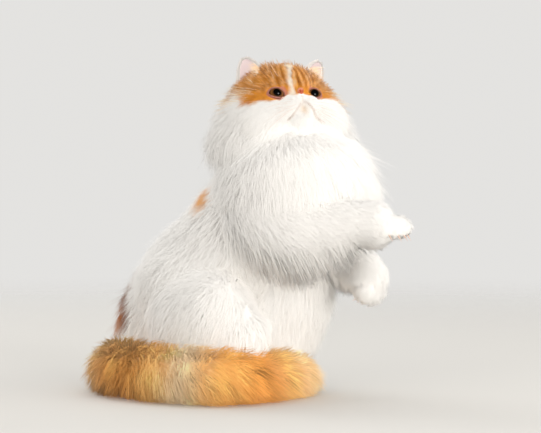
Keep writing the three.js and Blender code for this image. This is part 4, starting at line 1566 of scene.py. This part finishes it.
@dataclass
class Ear:
    """A small rounded ear: a cup that is open to the front, furred behind.

    Attributes:
        side: which ear.
        root: forward, aside and up of the head's centre, and tip the same.
        turned: how far its outer edge is turned back.
        half_width: at the root and the tip, and half_depth the same.
        furnishing: how many long hairs cross the cup.
    """

    side: Side
    root: Place = (-0.002, 0.034, 0.032)
    tip: Place = (0.012, 0.048, 0.066)
    turned: float = 0.35
    half_width: tuple[float, float] = (0.019, 0.010)
    half_depth: tuple[float, float] = (0.011, 0.005)
    furnishing: int = 240

    def __post_init__(self) -> None:
        """Works out the ear's outline."""
        hand = self.side.value
        stops = []
        for share in (0.0, 0.35, 0.7, 1.0):
            forward, aside, up = (mix(self.root[i], self.tip[i], share) for i in range(3))
            sizes = (mix(*self.half_width, share), mix(*self.half_depth, share), 0.004)
            stops.append((forward, hand * aside, up, *sizes))
        self.form = HEAD.form(tuple(stops), side=(-self.turned, hand, -0.35), caps=(0.1, 0.6))

    def front(self, angle: Array) -> Array:
        """1 on the open side of the cup, -1 on its back."""
        return -self.side.value * np.sin(angle)

    def build(self) -> None:
        """The bare ear as a piece."""
        made, share, angle = globe(56, 40)
        front = self.front(angle)
        *_, out, sizes = self.form.read(share)
        full = self.form.rounding(share) * sizes[:, 1]
        facing = np.maximum(front, 0)
        dish = (-0.55 * smooth(0.05, 0.9, facing) - facing) * full * -self.side.value
        move(made, self.form.surface(share, angle, 0.0) + out * column(np.where(front > 0, dish, 0)))
        name = f"ear_{self.side.name.lower()}"
        mesh = mesh_of(made, f"{name}_skin")
        shades = MARKINGS.ear(places_of(mesh), share)
        colour_mesh(mesh, paint(shades, MARKINGS.bare_skin, smooth(0.2, 0.5, front) * 0.8))
        own = np.array([vertex.normal for vertex in mesh.vertices])
        normals = unit(0.25 * own + 0.6 * HEAD.axes[0] + 0.5 * UP)  # a soft, even light on the thin edge
        mesh.normals_split_custom_set_from_vertices(normals.astype(np.float32))
        skin = piece(f"{name}_skin", mesh, SkinFinish("ear_skin", bump=0.2).material(), Slot.EAR, name)
        skin.visible_shadow = False  # light shows through an ear

    def fringe(self, share: Array, angle: Array) -> Array:
        """How thickly the ear's own short fur grows: on its back and round its rim."""
        return 1 - smooth(-0.05, 0.08, self.front(angle))

    def long_hairs(self) -> Tufts:
        """The pale hairs that spring from the cup's inner edge and cross it."""
        rng = np.random.default_rng(300 + self.side.value)
        count = self.furnishing
        share = rng.uniform(0.12, 0.62, count) ** 1.2
        turn = math.pi - self.side.value * -rng.uniform(-0.15, 0.9, count)
        roots = self.form.surface(share, turn, 0.1)
        _, along, side, out, _ = self.form.read(share)
        ahead = out * -self.side.value
        lean = side * 0.75 + along * column(rng.uniform(0.1, 0.9, count))
        lean = lean + ahead * column(rng.uniform(0.2, 0.7, count))
        lean = unit(lean + rng.normal(0, 0.14, (count, 3)))
        length = column(rng.uniform(0.010, 0.021, count))
        bent = unit(lean + side * 0.35 - along * 0.15)
        lines = np.stack([roots, roots + lean * length * 0.5, roots + (lean + bent) * length * 0.5], 1)
        way = np.repeat(unit(ahead + 0.3 * along)[:, None], 3, axis=1)
        shades = paint(flat(MARKINGS.blaze, share), MARKINGS.tan, rng.uniform(0, 0.7, count))
        root_map = np.column_stack([0.9 + 0.08 * rng.random(count), MAP_MARGIN + 0.9 * share])
        width = rng.uniform(0.00035, 0.0006, count)
        return Tufts(lines, way, way, width, width * 0.4, np.repeat(shades[:, None], 3, axis=1), root_map)


def bare(share: Array, angle: Array) -> Array:
    """How bare the head is: 1 on the eyes and the nose, 0 where fur grows."""
    points = SKULL.surface(share, angle, 0.0)
    local = HEAD.local(points) - np.array([Nose.seat[0], 0, Nose.seat[1]])
    nose = 1 - smooth(0.95, 1.05, np.hypot(local[:, 1] / Nose.bare, local[:, 2] / Nose.bare))
    eyes = [eye.clear(eye.local(points), 1.02, 1.10) for eye in map(Eye, Side)]
    return np.max([nose, *eyes], axis=0)


def face_density(share: Array, angle: Array) -> Array:
    """How thickly the short fur grows on the head: on the face, thinly along the mouth."""
    short = 1 - smooth(0.006, 0.011, SKULL.depth(share, angle))
    line = SKULL.far_from_mouth(HEAD.local(SKULL.surface(share, angle, 0.0)))
    return (1 - bare(share, angle)) * short * (0.05 + 0.95 * smooth(0.0005, 0.0018, line))


def crown_density(share: Array, angle: Array) -> Array:
    """How thickly the long fur grows on the head: behind the face."""
    return smooth(0.005, 0.010, SKULL.depth(share, angle)) * (1 - bare(share, angle))


def temple_density(share: Array, angle: Array) -> Array:
    """How thickly single wisps grow on the head: at the temples."""
    rays = SKULL.rays(share, angle)
    return smooth(0.78, 0.92, np.abs(rays[..., 1])) * smooth(0.05, 0.3, rays[..., 2])


def chin_density(share: Array, angle: Array) -> Array:
    """How thickly the soft fur grows that falls over the ruff: under the head."""
    rays = SKULL.rays(share, angle)
    low = smooth(0.50, 0.80, -rays[..., 2]) * smooth(-0.3, 0.15, rays[..., 0])
    return low * (1 - smooth(0.60, 0.75, rays[..., 0]))


@dataclass
class Coats:
    """All the hair of the cat, in pieces."""

    body: Body
    ears: list[Ear]

    def __post_init__(self) -> None:
        """Works out the soft shape that the light follows, and the material."""
        self.mass = Mass(self.body)
        self.fur = FurFinish().material()

    def grow(self, name: str, slot: Slot, *growths: tuple) -> None:
        """Grows one piece.

        Args:
            name: its name.
            slot: its slot.
            growths: form, style, colours and, unless it grows evenly, density of each part of it.
        """
        coat = Coat(name, slot, self.body, self.mass)
        for index, growth in enumerate(growths):
            coat.grow(*growth, part=(index, len(growths)))
        coat.finish(self.fur)

    def build(self) -> None:
        """Grows each coat and makes it a piece."""
        body, on_head, on_body = self.body, MARKINGS.head, MARKINGS.body
        style = CoatStyle(40000, 101, reach=1.7, least=0.0044, wide=0.00065, thick=0.00025, droop=0.12,
                          sweep=0.12, clump=0.3, gather=8, lift=(0.45, 1.0), rings=1, grain=0.12, melt=0.15)
        self.grow("face_fur", Slot.HEAD, (SKULL, style, on_head, face_density))
        style = CoatStyle(16500, 102, reach=1.4, least=0.013, wide=0.0008, droop=0.45, loose=0.28,
                          lift=(0.6, 1.1), grain=0.08, melt=0.6)
        wisps = CoatStyle(300, 119, reach=1.2, least=0.026, wide=0.0006, droop=0.1, fray=0.5, loose=0.95,
                          lift=(1.1, 1.9), melt=0.8)
        self.grow("head_fur", Slot.HEAD, (SKULL, style, on_head, crown_density),
                  (SKULL, wisps, lambda points, share: flat(MARKINGS.cream, points), temple_density))
        style = CoatStyle(7000, 117, reach=1.0, least=0.020, flow=0.3, droop=0.8, hang=0.2, loose=0.9,
                          fray=0.4, lift=(0.6, 1.5), melt=0.95)
        self.grow("chin_fur", Slot.WHITE, (SKULL, style, on_body, chin_density))
        self.grow_ears()
        style = CoatStyle(19000, 103, reach=0.9, flow=-1, droop=0.3, hang=0.15)
        self.grow("ruff_fur", Slot.WHITE, (body.ruff, style, on_body))
        style = CoatStyle(12000, 104, reach=1.2, flow=-1, droop=0.2, loose=0.5, lift=(0.8, 1.3))
        self.grow("mane_fur", Slot.WHITE, (body.mane, style, on_body))
        style = CoatStyle(16800, 105, reach=1.5, flow=-1, droop=0.4)
        self.grow("torso_fur", Slot.WHITE, (body.torso, style, on_body))
        self.grow_legs()
        style = CoatStyle(15600, 114, reach=1.35, flow=0.8, droop=0.95, hang=0.2, sweep=0.45, clump=0.55,
                          gather=24, loose=0.75, lift=(0.6, 1.3), grain=0.2, melt=0.4)
        wisps = CoatStyle(1600, 120, reach=1.5, flow=0.7, droop=1.0, hang=0.3, sweep=0.5, clump=0.6,
                          gather=16, loose=0.8, lift=(0.9, 1.35), grain=0.12, melt=0.4)
        self.grow("tail_fur", Slot.RED, *((body.tail, style, MARKINGS.tail) for style in (style, wisps)))
        self.grow_paws()

    def grow_ears(self) -> None:
        """The short fur of the ears, the fluff round their roots and the hairs across them."""
        coat = Coat("ear_fur", Slot.EAR, self.body, self.mass)
        strips = 4.5
        for index, ear in enumerate(self.ears):
            short = CoatStyle(3200, 130 + index, reach=1.5, least=0.006, wide=0.0006, droop=0, hang=0,
                              clump=0.3, gather=6, lift=(0.4, 1.3), rings=2, grain=0.04, melt=0.9)
            coat.grow(ear.form, short, MARKINGS.ear, ear.fringe, (2 * index, strips))
            coat.parts[-1].soft = unit(coat.parts[-1].soft + 0.7 * UP + 0.5 * HEAD.axes[0])
            forward, aside, up = ear.root
            base = HEAD.world(np.array([forward + 0.002, ear.side.value * aside * 1.05, up]))

            def near_base(share: Array, angle: Array) -> Array:
                gap = np.linalg.norm(SKULL.surface(share, angle, 0.0) - base, axis=1)
                return hill(gap / 0.020) * (1 - bare(share, angle))

            fluff = CoatStyle(2600, 134 + index, reach=1.4, least=0.016, wide=0.0008, droop=-0.15, hang=0,
                              loose=0.75, fray=0.3, lift=(0.9, 1.5), grain=0.05, melt=0.5)
            coat.grow(SKULL, fluff, MARKINGS.head, near_base, (2 * index + 1, strips))
            coat.parts.append(ear.long_hairs())
        coat.finish(self.fur)

    def grow_legs(self) -> None:
        """The feathered forelegs, the thighs and flanks, and the shanks with the belly between them."""
        def below(form: Form) -> Callable:
            """How thickly the feathers grow: under the foreleg."""
            return lambda share, angle: (smooth(0.1, 0.7, -form.normal(share, angle)[..., 2])
                                         * smooth(0.0, 0.2, 0.8 - share))

        body, shade, fore, thigh, shank = self.body, MARKINGS.body, [], [], []
        for index, form in enumerate(body.forelegs.values()):
            style = CoatStyle(6400, 106 + index, reach=1.6, droop=0.7, hang=0.15, least=0.014)
            feather = CoatStyle(1700, 108 + index, reach=1.9, droop=0.6, hang=0.6, loose=0.6, lift=(0.9, 1.4),
                                clump=0.15, fray=0.3)
            fore += [(form, style, shade), (form, feather, shade, below(form))]
        for index, side in enumerate(Side):
            style = CoatStyle(6400, 110 + index, reach=1.5, flow=0, droop=1.0, drift=(-0.35, 0, 0))
            flank = CoatStyle(3000, 118 + index, reach=1.6, flow=0, droop=1.0, drift=(-0.5, 0, 0))
            thigh += [(body.thighs[side], style, shade), (body.flanks[side], flank, shade)]
            shank.append((body.shanks[side], CoatStyle(1900, 112 + index, reach=1.4, droop=0.6), shade))
        belly = CoatStyle(8000, 116, reach=1.6, flow=0, droop=1.0, loose=0.45)
        self.grow("foreleg_fur", Slot.WHITE, *fore)
        self.grow("thigh_fur", Slot.WHITE, *thigh)
        self.grow("shank_fur", Slot.WHITE, *shank, (body.belly, belly, shade))

    def grow_paws(self) -> None:
        """Fur on the paws and the toes."""
        body, growths = self.body, []
        for side in Side:
            toes = [(toe, 360) for toe in body.toes[side] + body.hind_toes[side]]
            for form, count in [(body.palms[side], 2700), (body.soles[side], 1600), *toes]:
                style = CoatStyle(count, 140 + len(growths), reach=1.4, least=0.009, wide=0.0009, droop=0.3,
                                  gather=6, loose=0.45, lift=(0.6, 1.25), melt=0.45)
                growths.append((form, style, MARKINGS.body))
        self.grow("paw_fur", Slot.WHITE, *growths)


def add_spike(made: bmesh.types.BMesh, root: Array, way: Array, bend: Array, length: float,
              radius: float) -> None:
    """Adds one tapering hair or claw.

    Args:
        made: the mesh that it joins.
        root: where it springs from.
        way: which way it sets out, and bend how far it has turned off at its tip.
        length: how long it is, and radius how thick at its root.
    """
    spike = bmesh.new()
    bmesh.ops.create_cone(spike, cap_ends=True, segments=6, radius1=radius, radius2=radius * 0.12, depth=1.0)
    sides = [edge for edge in spike.edges if edge.calc_length() > 0.9]
    bmesh.ops.subdivide_edges(spike, edges=sides, cuts=7)
    way = unit(np.array(way, float))
    across = unit(np.cross(way, UP + 0.1))
    over = np.cross(way, across)
    for vertex in spike.verts:
        share = vertex.co.z + 0.5
        place = root + (way * share + np.array(bend) * share**2) * length
        vertex.co = place + across * vertex.co.x + over * vertex.co.y
    bmesh.ops.recalc_face_normals(spike, faces=spike.faces[:])
    join(made, spike)


@dataclass
class Whiskers:
    """The whiskers of the pads and the brows.

    Attributes:
        rows: heights of the rows on a pad, as slopes, and places along a row.
        length: the shortest and the longest, and radius how thick at the root.
        brow: how far aside and up the brow hairs spring, as slopes.
    """

    rows: tuple[float, ...] = (-0.20, -0.30, -0.40)
    places: tuple[float, ...] = (0.16, 0.27, 0.38, 0.50)
    length: tuple[float, float] = (0.030, 0.058)
    radius: float = 0.00016
    brow: tuple[tuple[float, float], ...] = ((0.56, 0.78), (0.74, 0.78))

    def build(self) -> None:
        """All whiskers as one piece."""
        rng = np.random.default_rng(400)
        made = bmesh.new()
        for side in Side:
            hand = side.value
            for row, height in enumerate(self.rows):
                for place, across in enumerate(self.places):
                    way = np.array([0.45 - 0.22 * place, hand, -0.08 - 0.2 * row]) + rng.normal(0, 0.06, 3)
                    slope = (hand * across, height - 0.05 * place)
                    self.add(made, slope, way, rng.uniform(*self.length), -0.22)
            for across, height in self.brow:
                way = np.array([0.35, hand * 0.45, 1.0]) + rng.normal(0, 0.1, 3)
                self.add(made, (hand * across, height), way, rng.uniform(0.6, 0.9) * self.length[0], -0.12)
        finish = HornFinish("whisker", linear(252, 248, 240))
        piece("whiskers", mesh_of(made, "whiskers"), finish.material(), Slot.WHITE)

    def add(self, made: bmesh.types.BMesh, slope: tuple[float, float], way: Array, length: float,
            sag: float) -> None:
        """Adds one whisker at a slope from the head's centre."""
        root = HEAD.world(SKULL.face(np.array([slope]), -0.001)[0])
        add_spike(made, root, way @ HEAD.axes, UP * sag, length, self.radius)


@dataclass
class PawDetails:
    """The claws and pads of all four paws.

    Attributes:
        body: the body that has the paws.
        claw: a claw's length and its thickness at the root.
        pad: half width, half depth and half length of a palm's pad, and toe_pad the same.
    """

    body: Body
    claw: tuple[float, float] = (0.0065, 0.0010)
    pad: tuple[float, float, float] = (0.0090, 0.0045, 0.0070)
    toe_pad: tuple[float, float, float] = (0.0038, 0.0026, 0.0040)

    def build(self) -> None:
        """The claws as one piece and the pads as another."""
        claws, pads = bmesh.new(), bmesh.new()
        for side in Side:
            under = self.body.under[side]
            palm = self.body.palms[side]
            place, along, _, _, sizes = (value[0] for value in palm.read(np.array([0.62])))
            self.add_pad(pads, place + under * (sizes[1] - 0.1 * sizes[2]), along, palm.side, self.pad)
            for toe in self.body.toes[side]:
                tip, along, _, _, sizes = (value[0] for value in toe.read(np.array([0.6])))
                self.add_pad(pads, tip + under * (sizes[1] - 0.9 * sizes[2]), along, toe.side, self.toe_pad)
                end = np.array(toe.stations[-1][:3])
                add_spike(claws, end + along * 0.002, along + 0.2 * under, 0.35 * under, *self.claw)
            for toe in self.body.hind_toes[side]:
                tip, along, *_ = (value[0] for value in toe.read(np.array([0.95])))
                add_spike(claws, tip + along * 0.003, along, UP * -0.12, *self.claw)
        piece("claws", mesh_of(claws, "claws"), HornFinish().material(), Slot.NOSE)
        skin = WetFinish("pad_skin", linear(214, 150, 138))
        piece("paw_pads", mesh_of(pads, "paw_pads"), skin.material(), Slot.NOSE)

    def add_pad(self, pads: bmesh.types.BMesh, place: Array, along: Array, side: Place, size: Place) -> None:
        """Adds one oval pad."""
        wide, deep, long = size
        stops = tuple((*(place + along * long * share), wide, deep, 0.0) for share in (-1.0, 0.0, 1.0))
        join(pads, Form(stops, side, (0.5, 0.5)).ball(20, 14))


@dataclass(frozen=True)
class SoftBox:
    """A square lamp: its name, place, edge, power in watts and colour."""

    name: str
    place: Place
    size: float
    power: float
    shade: Colour
    shows: bool = False

    def hang(self, target: Place) -> None:
        """Puts the lamp into the scene, turned to a target; it shows in the eyes only if it is meant to."""
        data = bpy.data.lights.new(self.name, "AREA")
        data.size, data.energy, data.color = self.size, self.power, self.shade
        light = bpy.data.objects.new(self.name, data)
        light.location = self.place
        light.rotation_euler = (Vector(target) - light.location).to_track_quat("-Z", "Y").to_euler()
        light.visible_glossy = self.shows
        bpy.context.scene.collection.objects.link(light)


@dataclass
class Studio:
    """The plain pale floor, soft lights, and the camera where the photographer stood.

    Attributes:
        azimuth: how far the camera has gone round the cat, 0 looking along +Y.
        distance: from the camera to the plane through the origin that faces it.
        aside: how far the picture's middle lies to the right of the origin, and height above it.
        dip: how far the camera looks down.
        lens: the focal length for a picture 36 mm wide.
        floor: half the floor's edge.
        target: where the lamps point.
        lamps: the lamps.
        air: the colour and strength of the light from all around.
        bounces: how often light is passed on in all, and between matt surfaces.
    """

    azimuth: float = math.radians(32)
    distance: float = 2.2
    aside: float = 0.107
    height: float = 0.260
    dip: float = math.radians(1.17)
    lens: float = 117.1
    floor: float = 9.0
    target: Place = (0.08, 0, 0.2)
    lamps: tuple[SoftBox, ...] = (
        SoftBox("key", (0.2, -2.8, 1.6), 2.0, 14.5, (1.0, 0.97, 0.92)),
        SoftBox("front", (2.4, -2.2, 0.5), 2.2, 5.5, (1.0, 0.97, 0.93)),
        SoftBox("fill", (2.8, 0.6, 0.9), 1.8, 18.0, (1.0, 0.97, 0.93)),
        SoftBox("catch", (2.2, -0.85, 1.4), 0.5, 8.0, (1.0, 1.0, 1.0), shows=True),
        SoftBox("bounce", (1.3, -1.9, 0.12), 1.0, 8.0, (1.0, 0.95, 0.88)),
        SoftBox("low", (1.9, -0.25, 0.22), 0.8, 8.0, (1.0, 0.95, 0.88)),
        SoftBox("back_left", (-2.0, 0.4, 1.8), 1.4, 14.0, (1.0, 0.99, 0.97)),
        SoftBox("top", (0.0, 1.2, 2.8), 1.6, 12.0, (1.0, 1.0, 1.0)),
    )
    air: tuple[Colour, float] = ((0.88, 0.87, 0.85), 0.88)
    bounces: tuple[int, int] = (16, 12)

    def build(self) -> None:
        """Makes the floor, the camera and the lights."""
        self.lay_floor()
        self.place_camera()
        for lamp in self.lamps:
            lamp.hang(self.target)
        world = bpy.data.worlds.new("studio")
        world.cycles_visibility.glossy = False  # keeps the pupils dark
        world.use_nodes = True
        air = world.node_tree.nodes["Background"].inputs
        air["Color"].default_value = (*self.air[0], 1)
        air["Strength"].default_value = self.air[1]
        scene = bpy.context.scene
        scene.world = world
        scene.view_settings.view_transform = "Standard"
        scene.cycles.max_bounces, scene.cycles.diffuse_bounces = self.bounces

    def lay_floor(self) -> None:
        """One wide plane under the cat."""
        made = bmesh.new()
        bmesh.ops.create_grid(made, x_segments=8, y_segments=8, size=self.floor)
        floor = bpy.data.objects.new("floor", mesh_of(made, "floor"))
        bpy.context.scene.collection.objects.link(floor)
        floor.data.materials.append(FloorFinish().material())

    def place_camera(self) -> None:
        """The camera, at the photograph's viewing angle."""
        right = np.array([math.cos(self.azimuth), math.sin(self.azimuth), 0])
        ahead = np.array([-math.sin(self.azimuth), math.cos(self.azimuth), 0])
        data = bpy.data.cameras.new("camera")
        data.lens = self.lens
        data.sensor_width = 36.0
        camera = bpy.data.objects.new("camera", data)
        camera.location = right * self.aside - ahead * self.distance + UP * self.height
        look = Vector(ahead * math.cos(self.dip) - UP * math.sin(self.dip))
        camera.rotation_euler = look.to_track_quat("-Z", "Y").to_euler()
        bpy.context.scene.collection.objects.link(camera)
        bpy.context.scene.camera = camera


def main() -> None:
    """Builds the cat piece by piece, then the studio."""
    logging.basicConfig(level=logging.INFO, format="%(message)s")
    body = Body()
    Skin(body).build()
    left = Ear(Side.LEFT, (-0.002, 0.037, 0.035), (0.008, 0.053, 0.0665), 0.6, (0.016, 0.010))
    ears = [left, Ear(Side.RIGHT)]
    for ear in ears:
        Eye(ear.side).build()
        ear.build()
    Nose().build()
    Whiskers().build()
    PawDetails(body).build()
    Coats(body, ears).build()
    Studio().build()


if __name__ == "__main__":
    main()
